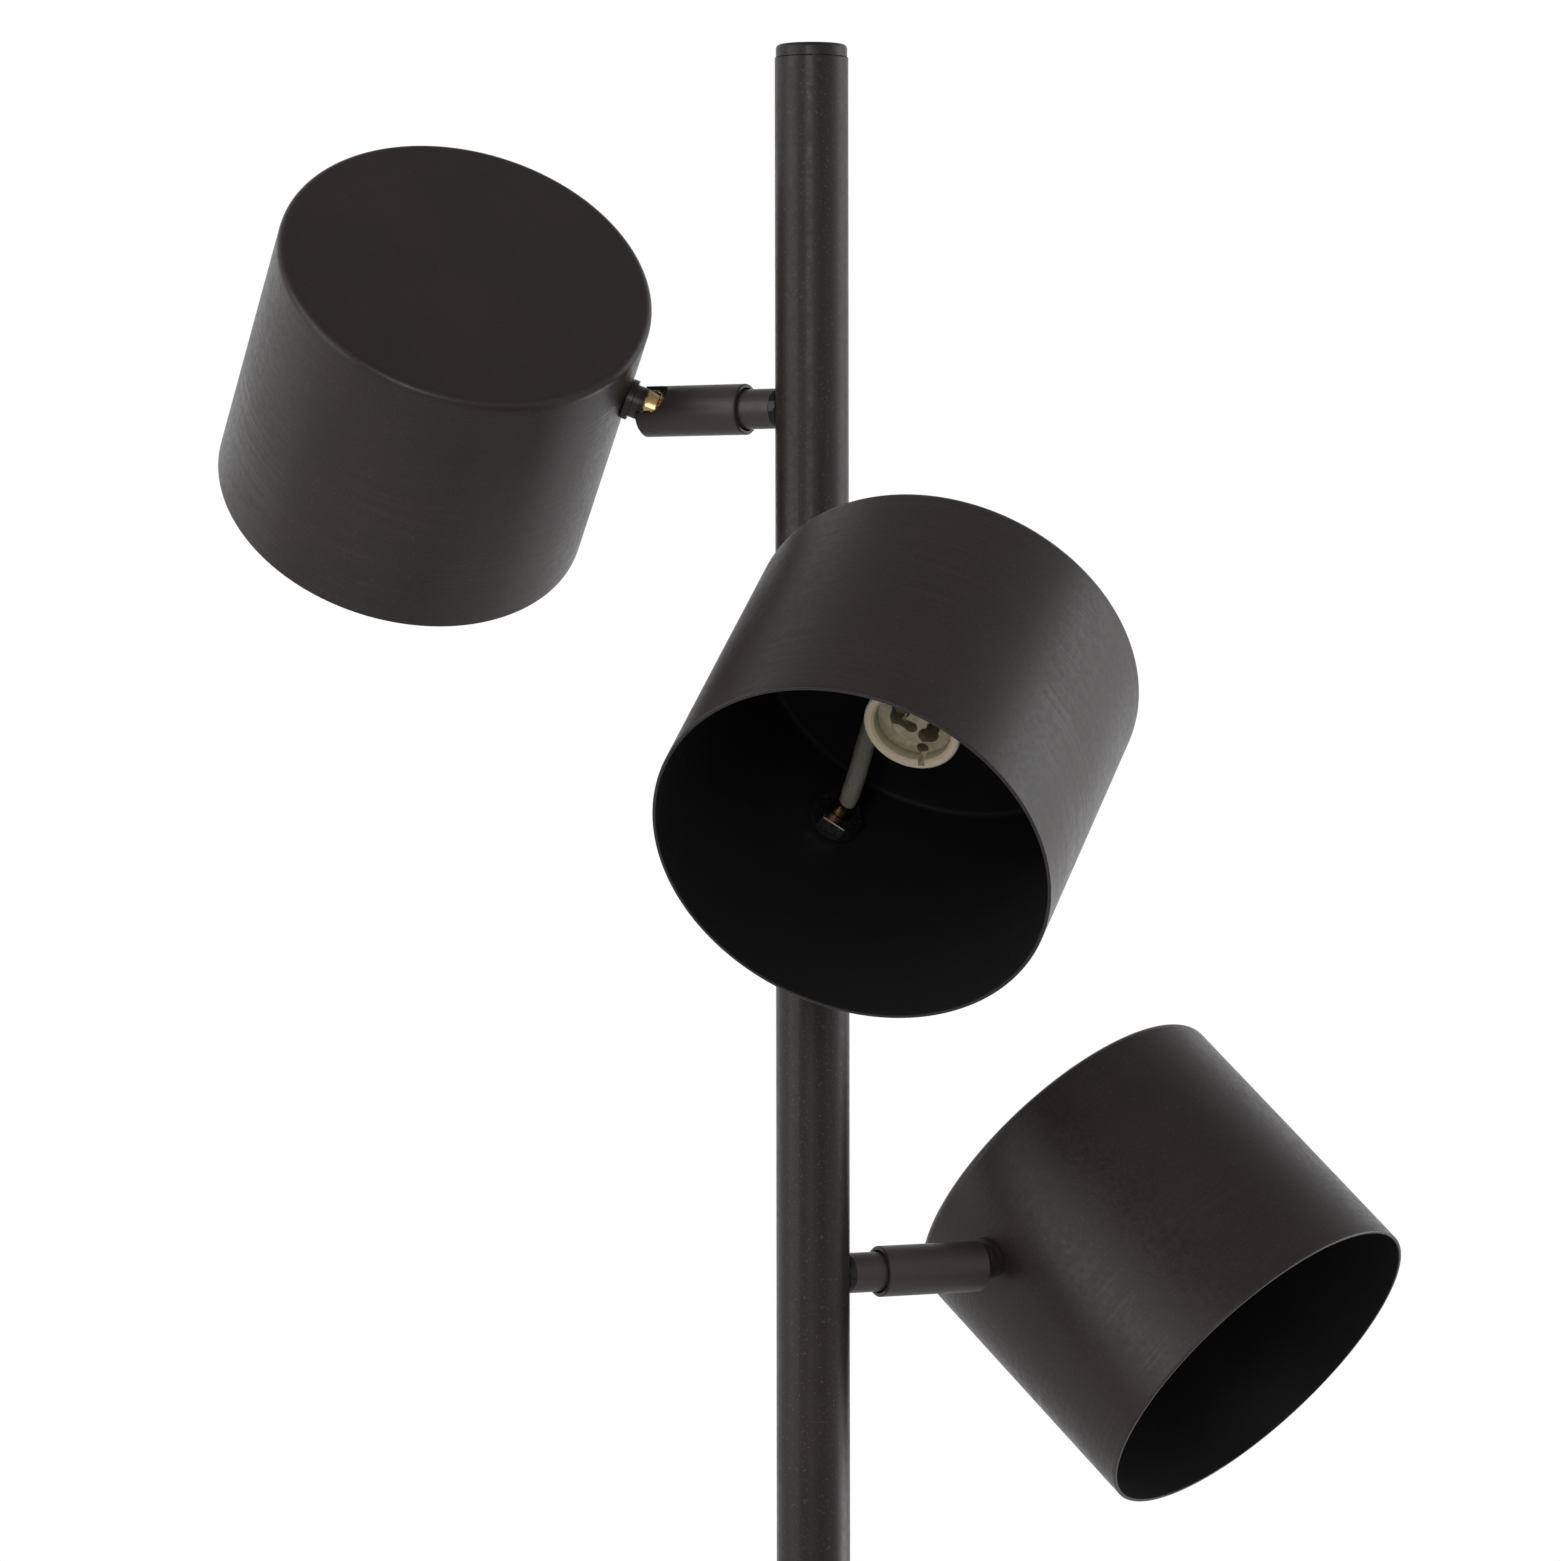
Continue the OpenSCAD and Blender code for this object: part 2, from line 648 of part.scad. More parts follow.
// Sleeved lead from the knuckle, out of the stem and round to the back of the lampholder
lead_stem_x = pivot_to_shade + shade_r - body_start - 0.2;
stem_end_x = shade_r - stem_reach;
lead_turn_x = 10.5;
lead_route = [
    [lead_stem_x, 0, -stem_offset],
    [stem_end_x - 1, 0, -stem_offset],
    [lead_x(0.76), 2.4, -18.6],
    [lead_x(0.48), 5.6, -14.2],
    [lead_x(0.2), 8, -9.8],
    [lead_turn_x, 8.2, -7.6],
    [7.2, 6.4, -10],
    [7, 6, -13],
    [7, 6, -holder_back + free_gap]];
LEAD_SIDES = 12;
LEAD_STEPS = 4;

// X of a point on the way from the turn of the lead, at 0, to the end of the stem, at 1
function lead_x(f) = lead_turn_x + f * (stem_end_x - 1 - lead_turn_x);

// Point at the fraction f between b and c on the smooth curve through a, b, c and d
function curve_point(a, b, c, d, f) =
    0.5 * (2 * b + (c - a) * f + (2 * a - 5 * b + 4 * c - d) * f * f
        + (3 * b - a - 3 * c + d) * f * f * f);

function curve_points(points, steps) =
    let (last = len(points) - 1)
    concat([points[0]],
        [for (k = [0:last - 1]) for (j = [(k == 0 ? steps : 1):steps])
            curve_point(points[max(k - 1, 0)], points[k], points[k + 1],
                points[min(k + 2, last)], j / steps)]);

function unit(v) = v / norm(v);

// Round tube along a smooth curve that never runs along Y
module lead_tube(points, r) {
    path = curve_points(points, LEAD_STEPS);
    last = len(path) - 1;
    rings = [for (k = [0:last])
        let (along = unit(path[min(k + 1, last)] - path[max(k - 1, 0)]),
            side = unit(cross(along, [0, 1, 0])), up = cross(side, along))
        for (j = [0:LEAD_SIDES - 1])
            path[k] + r * (cos(j * 360 / LEAD_SIDES) * side + sin(j * 360 / LEAD_SIDES) * up)];
    skin = [for (k = [0:last - 1]) for (j = [0:LEAD_SIDES - 1])
        let (n = (j + 1) % LEAD_SIDES, a = k * LEAD_SIDES)
        [a + j, a + LEAD_SIDES + j, a + LEAD_SIDES + n, a + n]];
    polyhedron(points = rings, faces = concat(skin, [[for (j = [0:LEAD_SIDES - 1]) j]],
        [[for (j = [LEAD_SIDES - 1:-1:0]) last * LEAD_SIDES + j]]));
}

module shade_lead(i)
    color("#cfc8bd") on_shade(i) lead_tube(lead_route, lead_d / 2);

// ---------------------------------------------------------------- drawing

base_cover();
base_weight();
base_pad();
base_nut();
cable_grommet();
pole_foot();
pole_lower();
pole_middle();
pole_upper();
pole_couplers();
pole_cap();
pole_wiring();
arm_saddles();
arm_nipples();
arm_nuts();

for (i = [0:2]) {
    arm_tube(i);
    swivel_plug(i);
    swivel_sleeve(i);
    stop_screw(i);
    tilt_pins(i);
    tilt_washers(i);
    knuckle(i);
    knuckle_collar(i);
    shade(i);
    shade_washer(i);
    shade_nut(i);
    lampholder(i);
    holder_bracket(i);
    holder_screws(i);
    shade_lead(i);
}
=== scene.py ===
"""Visual model of a pole lamp with three spot heads: finishes for the CAD nodes and finer pieces."""
import json
from math import cos, hypot, pi, radians, sin

import bpy
from bpy.props import FloatProperty, FloatVectorProperty, PointerProperty
from bpy.types import Operator, Panel, PropertyGroup
from mathutils import Matrix, Vector


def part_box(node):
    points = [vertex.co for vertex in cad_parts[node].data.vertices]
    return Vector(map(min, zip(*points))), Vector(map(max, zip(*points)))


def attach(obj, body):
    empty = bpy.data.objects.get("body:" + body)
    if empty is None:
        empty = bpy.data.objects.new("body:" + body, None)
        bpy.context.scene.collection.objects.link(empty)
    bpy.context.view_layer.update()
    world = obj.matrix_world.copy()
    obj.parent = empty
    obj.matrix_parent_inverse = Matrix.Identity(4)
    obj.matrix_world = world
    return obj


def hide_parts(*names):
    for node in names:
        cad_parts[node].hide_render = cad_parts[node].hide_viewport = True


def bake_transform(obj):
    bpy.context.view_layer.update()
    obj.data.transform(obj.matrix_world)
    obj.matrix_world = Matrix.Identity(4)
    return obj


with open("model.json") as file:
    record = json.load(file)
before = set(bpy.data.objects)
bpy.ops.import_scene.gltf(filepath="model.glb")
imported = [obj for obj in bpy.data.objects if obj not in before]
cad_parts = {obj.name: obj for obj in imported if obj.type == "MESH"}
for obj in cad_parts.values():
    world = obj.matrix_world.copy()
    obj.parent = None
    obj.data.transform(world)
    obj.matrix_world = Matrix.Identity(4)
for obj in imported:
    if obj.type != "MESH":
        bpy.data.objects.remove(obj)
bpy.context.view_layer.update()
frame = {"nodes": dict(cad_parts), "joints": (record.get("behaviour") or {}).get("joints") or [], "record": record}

bl_info = {
    "name": "Pole Lamp with Three Spots",
    "version": (1, 0, 0),
    "blender": (4, 5, 0),
    "location": "3D View > Sidebar > Lamp",
    "description": "Finishes and detailed pieces for a pole lamp with three spot heads",
    "category": "Object",
}

MM = 0.001
HEADS = ("upper", "middle", "lower")
LEAD_UV = "Lead"
# Along a shade in millimetres, from the lamp mount: out to the lampholder's rim, in to the closed end
MOUNT_TO_RIM, MOUNT_TO_CLOSED = 2.4, 29.6

# ------------------------------------------------------------------ frames of the heads


def joint(name):
    return next(j for j in frame["joints"] if j["name"] == name)


def mount(name):
    return next(m for m in frame["record"]["mounts"] if m["name"] == name)


def axes_matrix(x_axis, z_axis, origin):
    """Frame with that X axis, a Z axis near z_axis, and that origin."""
    x = x_axis.normalized()
    y = z_axis.cross(x).normalized()
    z = x.cross(y)
    turn = Matrix((x, y, z)).transposed().to_4x4()
    return Matrix.Translation(origin) @ turn


class Head:
    """Where one head's pieces lie, from the joints and the lamp mount of the CAD record."""

    def __init__(self, name):
        swivel, tilt = joint(name + "_swivel"), joint(name + "_tilt")
        lamp = mount(name + "_lamp_pins")
        self.name = name
        self.pivot = Vector(swivel["pos_m"])
        self.arm = arm = Vector(swivel["axis"])
        self.across = across = Vector(tilt["axis"])
        self.slot = slot = across.cross(arm)
        angle = radians(-tilt["range_deg"][0])
        self.stem = arm * cos(angle) + slot * sin(angle)
        self.top = -Vector(lamp["axis"])
        self.rim = Vector(lamp["pos_m"]) - self.top * MOUNT_TO_RIM * MM
        # Z towards the closed end at zero, X towards the stem
        closed = Vector(lamp["pos_m"]) + self.top * MOUNT_TO_CLOSED * MM
        self.shade = axes_matrix(-self.stem, self.top, closed)

    def body(self, part):
        return self.name + "_" + part


heads = [Head(name) for name in HEADS]

# ------------------------------------------------------------------ settings


class ShadeSizes(PropertyGroup):
    """Sizes of the three spun shades"""

    radius: FloatProperty(name="Radius", description="Outer radius of a shade", default=52.5 * MM,
                          unit="LENGTH", precision=4)
    length: FloatProperty(name="Length", description="Length of a shade from rim to closed end",
                          default=85.5 * MM, unit="LENGTH", precision=4)
    wall: FloatProperty(name="Wall", description="Sheet thickness of a shade", default=1 * MM,
                        unit="LENGTH", precision=4)
    edge: FloatProperty(name="Edge radius", description="Rounding round the closed end",
                        default=2.5 * MM, unit="LENGTH", precision=4)
    rim: FloatProperty(name="Rim rounding", description="Rounding of the open rim's edges",
                       default=0.3 * MM, unit="LENGTH", precision=5)


class WiringSizes(PropertyGroup):
    """Sizes of the leads that show"""

    sleeving: FloatProperty(name="Sleeving radius", description="Radius of the woven sleeving",
                            default=2.32 * MM, unit="LENGTH", precision=4)
    fluffed: FloatProperty(name="Loose sleeving radius",
                           description="Radius of the sleeving outside the stem",
                           default=2.5 * MM, unit="LENGTH", precision=4)
    wire: FloatProperty(name="Wire radius", description="Radius of one wire in the knuckle",
                        default=0.6 * MM, unit="LENGTH", precision=5)
    cable: FloatProperty(name="Cable radius", description="Radius of the supply cable in the pole",
                         default=2.6 * MM, unit="LENGTH", precision=4)
    arm_lead: FloatProperty(name="Arm lead radius", description="Radius of the lead in each arm",
                            default=1.3 * MM, unit="LENGTH", precision=4)


class Finishes(PropertyGroup):
    """Colours of the main finishes"""

    pole: FloatVectorProperty(name="Pole", description="Powder coat of the pole",
                              subtype="COLOR", size=3, default=(0.0128, 0.0102, 0.0093), min=0, max=1)
    arm: FloatVectorProperty(name="Arms", description="Powder coat of the arms and swivel sleeves",
                             subtype="COLOR", size=3, default=(0.0280, 0.0225, 0.0212), min=0, max=1)
    shade: FloatVectorProperty(name="Shades", description="Powder coat of the shades",
                               subtype="COLOR", size=3, default=(0.0150, 0.0118, 0.0108), min=0, max=1)
    # Painted shade: a darker, cooler copy of the shade coat for the inside of the shades
    inside: FloatVectorProperty(name="Shade inside", description="Coat on the inside of the shades",
                                subtype="COLOR", size=3, default=(0.0105, 0.0098, 0.0104), min=0, max=1)
    fleck: FloatVectorProperty(name="Fleck", description="Light grains in the powder coat",
                               subtype="COLOR", size=3, default=(0.075, 0.062, 0.055), min=0, max=1)
    brass: FloatVectorProperty(name="Brass", description="Turned brass of the knuckles",
                               subtype="COLOR", size=3, default=(0.62, 0.44, 0.20), min=0, max=1)
    ceramic: FloatVectorProperty(name="Ceramic", description="Unglazed ceramic of the lampholders",
                                 subtype="COLOR", size=3, default=(0.72, 0.61, 0.45), min=0, max=1)
    woven: FloatVectorProperty(name="Sleeving", description="Woven sleeving of the leads",
                               subtype="COLOR", size=3, default=(0.165, 0.155, 0.125), min=0, max=1)
    wire: FloatVectorProperty(name="Wire", description="Insulation of the wires in the knuckles",
                              subtype="COLOR", size=3, default=(0.42, 0.17, 0.06), min=0, max=1)


class StageLight(PropertyGroup):
    """Light levels of the studio"""

    room: FloatProperty(name="Room light", description="Strength of the even light all round",
                        default=0.85, min=0, max=2)
    ceiling: FloatProperty(name="Ceiling",
                           description="Light from the dark ceiling, 1 for as light as the walls",
                           default=0.35, min=0, max=1, subtype="FACTOR")
    front: FloatProperty(name="Front", description="Light from the dark side behind the camera",
                         default=0.45, min=0, max=1, subtype="FACTOR")
    left: FloatProperty(name="Left light", description="Power of the light on the left",
                        default=27, min=0, max=200, unit="POWER")
    right: FloatProperty(name="Right light", description="Power of the light on the right",
                         default=20, min=0, max=200, unit="POWER")
    low: FloatProperty(name="Low light", description="Power of the low light on the right",
                       default=22, min=0, max=200, unit="POWER")
    fill: FloatProperty(name="Front light", description="Power of the wide light above the camera",
                        default=6, min=0, max=200, unit="POWER")
    strip: FloatProperty(name="Strip light", description="Power of the narrow light beside the camera",
                         default=12, min=0, max=200, unit="POWER")


SETTINGS = {"lamp_shades": ShadeSizes, "lamp_wiring": WiringSizes, "lamp_finishes": Finishes,
            "lamp_stage": StageLight}

# ------------------------------------------------------------------ nodes


def give(tree, node, inputs):
    """Sets a node's inputs, by name or number, each to a value or by a link from a socket."""
    for key, value in inputs.items():
        if isinstance(value, bpy.types.NodeSocket):
            tree.links.new(value, node.inputs[key])
        else:
            node.inputs[key].default_value = value


def put(tree, kind, inputs=None, **settings):
    """A new node of that kind with its inputs and its own settings."""
    node = tree.nodes.new("ShaderNode" + kind)
    for key, value in settings.items():
        setattr(node, key, value)
    give(tree, node, inputs or {})
    return node


def put_group(tree, group, inputs):
    return put(tree, "Group", inputs, node_tree=group).outputs


def maths(tree, operation, a, b=0.0):
    return put(tree, "Math", {0: a, 1: b}, operation=operation).outputs[0]


def ramp(tree, value, low, high, to_low=0.0, to_high=1.0):
    return put(tree, "MapRange", {"Value": value, "From Min": low, "From Max": high,
                                  "To Min": to_low, "To Max": to_high}).outputs["Result"]


def mixed(tree, factor, a, b):
    """Colour a where the factor is 0, b where it is 1. The numbers are those of the colour sockets."""
    return put(tree, "Mix", {0: factor, 6: a, 7: b}, data_type="RGBA").outputs[2]


def colour(rgb, gain=1.0):
    return (*(min(1.0, c * gain) for c in rgb), 1.0)


def own_place(tree):
    """Where a point lies in its piece's own frame, which for a CAD node is the lamp's frame at rest."""
    return put(tree, "TexCoord").outputs["Object"]


def noise(tree, place, scale, detail, roughness=0.5):
    return put(tree, "TexNoise", {"Vector": place, "Scale": scale, "Detail": detail,
                                  "Roughness": roughness}).outputs["Fac"]


def offset(tree, place, origin):
    return put(tree, "VectorMath", {0: place, 1: tuple(origin)}, operation="SUBTRACT").outputs["Vector"]


def measure_along(tree, off, axis):
    """How far an offset reaches along an axis."""
    return put(tree, "VectorMath", {0: off, 1: tuple(axis)}, operation="DOT_PRODUCT").outputs["Value"]


def measure_across(tree, off, axis):
    """How far an offset reaches away from an axis."""
    turned = put(tree, "VectorMath", {0: off, 1: tuple(axis)}, operation="CROSS_PRODUCT")
    return put(tree, "VectorMath", {0: turned.outputs["Vector"]}, operation="LENGTH").outputs["Value"]


def bump(tree, height, strength, distance):
    return put(tree, "Bump", {"Strength": strength, "Distance": distance,
                              "Height": height}).outputs["Normal"]


def effect(name, inputs, outputs, build):
    """Node group made once. build(tree, inputs) returns one socket for each output."""
    tree = bpy.data.node_groups.get(name)
    if tree:
        return tree
    tree = bpy.data.node_groups.new(name, "ShaderNodeTree")
    for label, kind, default in inputs:
        tree.interface.new_socket(label, in_out="INPUT", socket_type=kind).default_value = default
    for label, kind in outputs:
        tree.interface.new_socket(label, in_out="OUTPUT", socket_type=kind)
    source = tree.nodes.new("NodeGroupInput")
    sink = tree.nodes.new("NodeGroupOutput")
    for socket, made in zip(sink.inputs, build(tree, source.outputs)):
        tree.links.new(made, socket)
    return tree


NUMBER, COLOUR = "NodeSocketFloat", "NodeSocketColor"


def powder_coat():
    """Fine powder coat: flecks, soft orange peel and slow cloudiness."""

    def build(tree, given):
        place = own_place(tree)
        grain = noise(tree, place, 1500.0, 2.0, 0.6)
        peel = noise(tree, place, 560.0, 2.0)
        cloud = noise(tree, place, 28.0, 4.0, 0.55)
        flecks = maths(tree, "MULTIPLY", ramp(tree, grain, 0.60, 0.74), given["Flecks"])
        shaded = mixed(tree, ramp(tree, cloud, 0.3, 0.7), given["Colour"], given["Cloud"])
        tint = mixed(tree, flecks, shaded, given["Fleck colour"])
        rough = maths(tree, "ADD", ramp(tree, cloud, 0.25, 0.75, -0.035, 0.035),
                      ramp(tree, peel, 0.35, 0.65, -0.04, 0.04))
        rough = maths(tree, "ADD", rough, given["Roughness"])
        height = maths(tree, "ADD", maths(tree, "MULTIPLY", grain, 0.55),
                       maths(tree, "MULTIPLY", peel, given["Peel"]))
        return tint, rough, height

    return effect("Powder coat",
                  [("Colour", COLOUR, (0.02, 0.02, 0.02, 1)), ("Cloud", COLOUR, (0.02, 0.02, 0.02, 1)),
                   ("Fleck colour", COLOUR, (0.1, 0.1, 0.1, 1)), ("Flecks", NUMBER, 0.5),
                   ("Roughness", NUMBER, 0.4), ("Peel", NUMBER, 0.6)],
                  [("Colour", COLOUR), ("Roughness", NUMBER), ("Height", NUMBER)], build)


def turned_lines():
    """Fine rings left by a spinning or turning tool, round the Z axis of the piece's own frame."""

    def build(tree, given):
        place = own_place(tree)
        parts = put(tree, "SeparateXYZ", {0: place}).outputs
        reach = maths(tree, "SQRT", maths(tree, "ADD", maths(tree, "MULTIPLY", parts["X"], parts["X"]),
                                          maths(tree, "MULTIPLY", parts["Y"], parts["Y"])))
        along = maths(tree, "SUBTRACT", parts["Z"], reach)
        swirl = put(tree, "CombineXYZ", {"X": maths(tree, "MULTIPLY", parts["X"], given["Drift"]),
                                         "Y": maths(tree, "MULTIPLY", parts["Y"], given["Drift"]),
                                         "Z": along}).outputs[0]
        fine = noise(tree, swirl, given["Scale"], 3.0, 0.7)
        patch = noise(tree, place, 22.0, 2.0)
        lines = maths(tree, "MULTIPLY", ramp(tree, fine, 0.48, 0.68), ramp(tree, patch, 0.42, 0.62))
        return lines, fine

    return effect("Turned lines", [("Scale", NUMBER, 900.0), ("Drift", NUMBER, 0.02)],
                  [("Lines", NUMBER), ("Height", NUMBER)], build)


def handling_wear():
    """Slow patches of wear and dust, for roughness and tint."""

    def build(tree, given):
        place = own_place(tree)
        patch = noise(tree, place, given["Scale"], 5.0, 0.62)
        finer = maths(tree, "MULTIPLY", given["Scale"], 9.0)
        specks = put(tree, "TexVoronoi", {"Vector": place, "Scale": finer}, feature="F1")
        return ramp(tree, patch, 0.42, 0.70), ramp(tree, specks.outputs["Distance"], 0.16, 0.05)

    return effect("Handling wear", [("Scale", NUMBER, 60.0)],
                  [("Wear", NUMBER), ("Specks", NUMBER)], build)


def seam_shadow():
    """Painted shadow of a seam's gap: a thin dark line round the Z axis at a height, broken up where the gap is
    filled with paint.
    """

    def build(tree, given):
        place = own_place(tree)
        height = put(tree, "SeparateXYZ", {0: place}).outputs["Z"]
        off = maths(tree, "ABSOLUTE", maths(tree, "SUBTRACT", height, given["Height"]))
        line = ramp(tree, maths(tree, "DIVIDE", off, given["Width"]), 1.0, 0.35)
        gaps = noise(tree, place, 260.0, 2.0)
        return [maths(tree, "MULTIPLY", line, ramp(tree, gaps, 0.36, 0.52, 0.35, 1.0))]

    return effect("Seam line", [("Height", NUMBER, 0.0), ("Width", NUMBER, 0.0003)],
                  [("Line", NUMBER)], build)


# ------------------------------------------------------------------ materials


def new_material(name):
    material = bpy.data.materials.new(name)
    material.use_nodes = True
    tree = material.node_tree
    return material, tree, tree.nodes["Principled BSDF"]


def once(make):
    """Wraps a function that makes a material, so that one which already has the name is used again."""

    def get(name, *values, **others):
        return bpy.data.materials.get(name) or make(name, *values, **others)

    return get


COAT_GRAIN = 0.06 * MM
SEAM_WIDTH = 0.22 * MM
SPINNING = {"Scale": 1100.0, "Drift": 0.012}
# Spinning marks come in below the rounded edge of a shade's closed end
MARKS_FAINT, MARKS_FULL = -2.0 * MM, -4.5 * MM


@once
def coated_metal(name, base, roughness, flecks=0.45, spun=0.0, peel=0.6, gloss=0.3, seam=None):
    """Powder coat on metal. Where spun is above zero, the marks of spinning show through it, fainter
    on the closed end, with a lighter tint that is partly painted sheen. A seam is the height of a painted shadow
    line round it, for the gap there."""
    material, tree, shader = new_material(name)
    fleck = bpy.context.scene.lamp_finishes.fleck
    coat = put_group(tree, powder_coat(), {"Colour": colour(base), "Cloud": colour(base, 1.25),
                                           "Fleck colour": colour(fleck), "Flecks": flecks,
                                           "Roughness": roughness, "Peel": peel})
    tint, rough, height = coat["Colour"], coat["Roughness"], coat["Height"]
    if spun:
        rings = put_group(tree, turned_lines(), SPINNING)
        level = put(tree, "SeparateXYZ", {0: own_place(tree)}).outputs["Z"]
        wall = ramp(tree, level, MARKS_FAINT, MARKS_FULL, 0.12, 1.0)
        lines = maths(tree, "MULTIPLY", rings["Lines"], wall)
        ridges = maths(tree, "MULTIPLY", rings["Height"], wall)
        # The lighter tint on the spinning lines is partly real marks and partly painted sheen, standing in for
        # light caught along them
        tint = mixed(tree, maths(tree, "MULTIPLY", lines, spun * 0.4), tint, colour(fleck))
        rough = maths(tree, "SUBTRACT", rough, maths(tree, "MULTIPLY", lines, spun * 0.5))
        height = maths(tree, "ADD", height, maths(tree, "MULTIPLY", ridges, spun * 2.4))
    wear = put_group(tree, handling_wear(), {"Scale": 45.0})
    rough = maths(tree, "ADD", rough, maths(tree, "MULTIPLY", wear["Wear"], 0.05))
    if seam:
        # Painted shadow of the gap at the seam: a thin dark line in the coat's own colour
        line = put_group(tree, seam_shadow(), {"Height": seam, "Width": SEAM_WIDTH})["Line"]
        tint = mixed(tree, line, tint, colour(base, 0.12))
        rough = maths(tree, "ADD", rough, maths(tree, "MULTIPLY", line, 0.5))
        height = maths(tree, "SUBTRACT", height, maths(tree, "MULTIPLY", line, 3.0))
    give(tree, shader, {"Base Color": tint, "Roughness": rough, "Specular IOR Level": gloss,
                        "Normal": bump(tree, height, 0.4, COAT_GRAIN)})
    return material


TURNING = {"Scale": 900.0, "Drift": 0.03}
TOOL_MARKS = 0.03 * MM
TARNISH_SCALE = 320.0


@once
def bare_metal(name, base, roughness, darkened=0.5):
    """Turned metal with tool rings and patchy tarnish."""
    material, tree, shader = new_material(name)
    rings = put_group(tree, turned_lines(), TURNING)
    wear = put_group(tree, handling_wear(), {"Scale": TARNISH_SCALE})
    tarnish = maths(tree, "MULTIPLY", wear["Wear"], darkened)
    tint = mixed(tree, tarnish, colour(base), colour(base, 0.35))
    rough = maths(tree, "ADD", maths(tree, "MULTIPLY", wear["Wear"], 0.16),
                  maths(tree, "MULTIPLY", rings["Lines"], 0.12))
    give(tree, shader, {"Base Color": tint, "Roughness": maths(tree, "ADD", rough, roughness),
                        "Metallic": 1.0, "Normal": bump(tree, rings["Height"], 0.25, TOOL_MARKS)})
    return material


@once
def moulded(name, base, roughness, grain=1400.0, depth=0.03 * MM, fleck=0.2, gloss=0.4):
    """Moulded plastic, rubber, foam, insulation or casting with a grain of that scale and depth."""
    material, tree, shader = new_material(name)
    fine = noise(tree, own_place(tree), grain, 3.0)
    wear = put_group(tree, handling_wear(), {"Scale": 120.0})
    tint = mixed(tree, maths(tree, "MULTIPLY", wear["Wear"], fleck), colour(base), colour(base, 1.9))
    rough = maths(tree, "ADD", ramp(tree, fine, 0.35, 0.65, -0.05, 0.05),
                  maths(tree, "MULTIPLY", wear["Wear"], 0.08))
    give(tree, shader, {"Base Color": tint, "Roughness": maths(tree, "ADD", rough, roughness),
                        "Specular IOR Level": gloss, "Normal": bump(tree, fine, 0.4, depth)})
    return material


# Along the stem from the tilt pins: where the lacquer on the brass begins and ends, each within a band
LACQUER_BEGINS = 4.4 * MM, 5.0 * MM
LACQUER_ENDS = 12.0 * MM, 12.6 * MM
LACQUER = (0.0150, 0.0120, 0.0110)
STEM_BRASS = (0.085, 0.048, 0.022)


@once
def knuckle_brass(name, head):
    """Bright brass by the tilt pins, dark lacquer from there on along the stem, and darker brass at the end of the
    stem."""
    finishes = bpy.context.scene.lamp_finishes
    material, tree, shader = new_material(name)
    place = own_place(tree)
    along = measure_along(tree, offset(tree, place, head.pivot), head.stem)
    edge = noise(tree, place, 900.0, 3.0)
    worn = maths(tree, "ADD", along, ramp(tree, edge, 0.3, 0.7, -0.5 * MM, 0.5 * MM))
    lacquer = maths(tree, "MULTIPLY", ramp(tree, worn, *LACQUER_BEGINS),
                    ramp(tree, worn, *reversed(LACQUER_ENDS)))
    rings = put_group(tree, turned_lines(), TURNING)
    wear = put_group(tree, handling_wear(), {"Scale": TARNISH_SCALE})
    metal = mixed(tree, maths(tree, "MULTIPLY", wear["Wear"], 0.5), colour(finishes.brass),
                  colour(finishes.brass, 0.35))
    metal = mixed(tree, ramp(tree, along, *LACQUER_ENDS), metal, colour(STEM_BRASS))
    rough = maths(tree, "ADD", maths(tree, "MULTIPLY", wear["Wear"], 0.16),
                  maths(tree, "MULTIPLY", lacquer, 0.12))
    give(tree, shader, {"Base Color": mixed(tree, lacquer, metal, colour(LACQUER)),
                        "Roughness": maths(tree, "ADD", rough, 0.2), "Specular IOR Level": 0.2,
                        "Metallic": ramp(tree, lacquer, 0.0, 1.0, 1.0, 0.0),
                        "Normal": bump(tree, rings["Height"], 0.25, TOOL_MARKS)})
    return material


CERAMIC_LUMPS = 0.1 * MM
# How much of each of the ceramic's colours is left under the painted shade in the dish
CERAMIC_DISH_SHADE = (0.36, 0.37, 0.30)
# Painted shade: the brown that the holes take with depth
CERAMIC_HOLE_SHADE = (0.24, 0.185, 0.115)
CERAMIC_SPECK = (0.16, 0.11, 0.07)
# Distance from the lampholder's axis: all dish up to the first, all rim from the second
DISH_INSIDE, DISH_OUTSIDE = 10.1 * MM, 10.6 * MM
# Depths below the rim at which the painted shade of the dish and the painted shaded brown of the holes begin and
# are full
DISH_DEPTHS = 0.6 * MM, 2.9 * MM
HOLE_DEPTHS = 3.6 * MM, 5.2 * MM


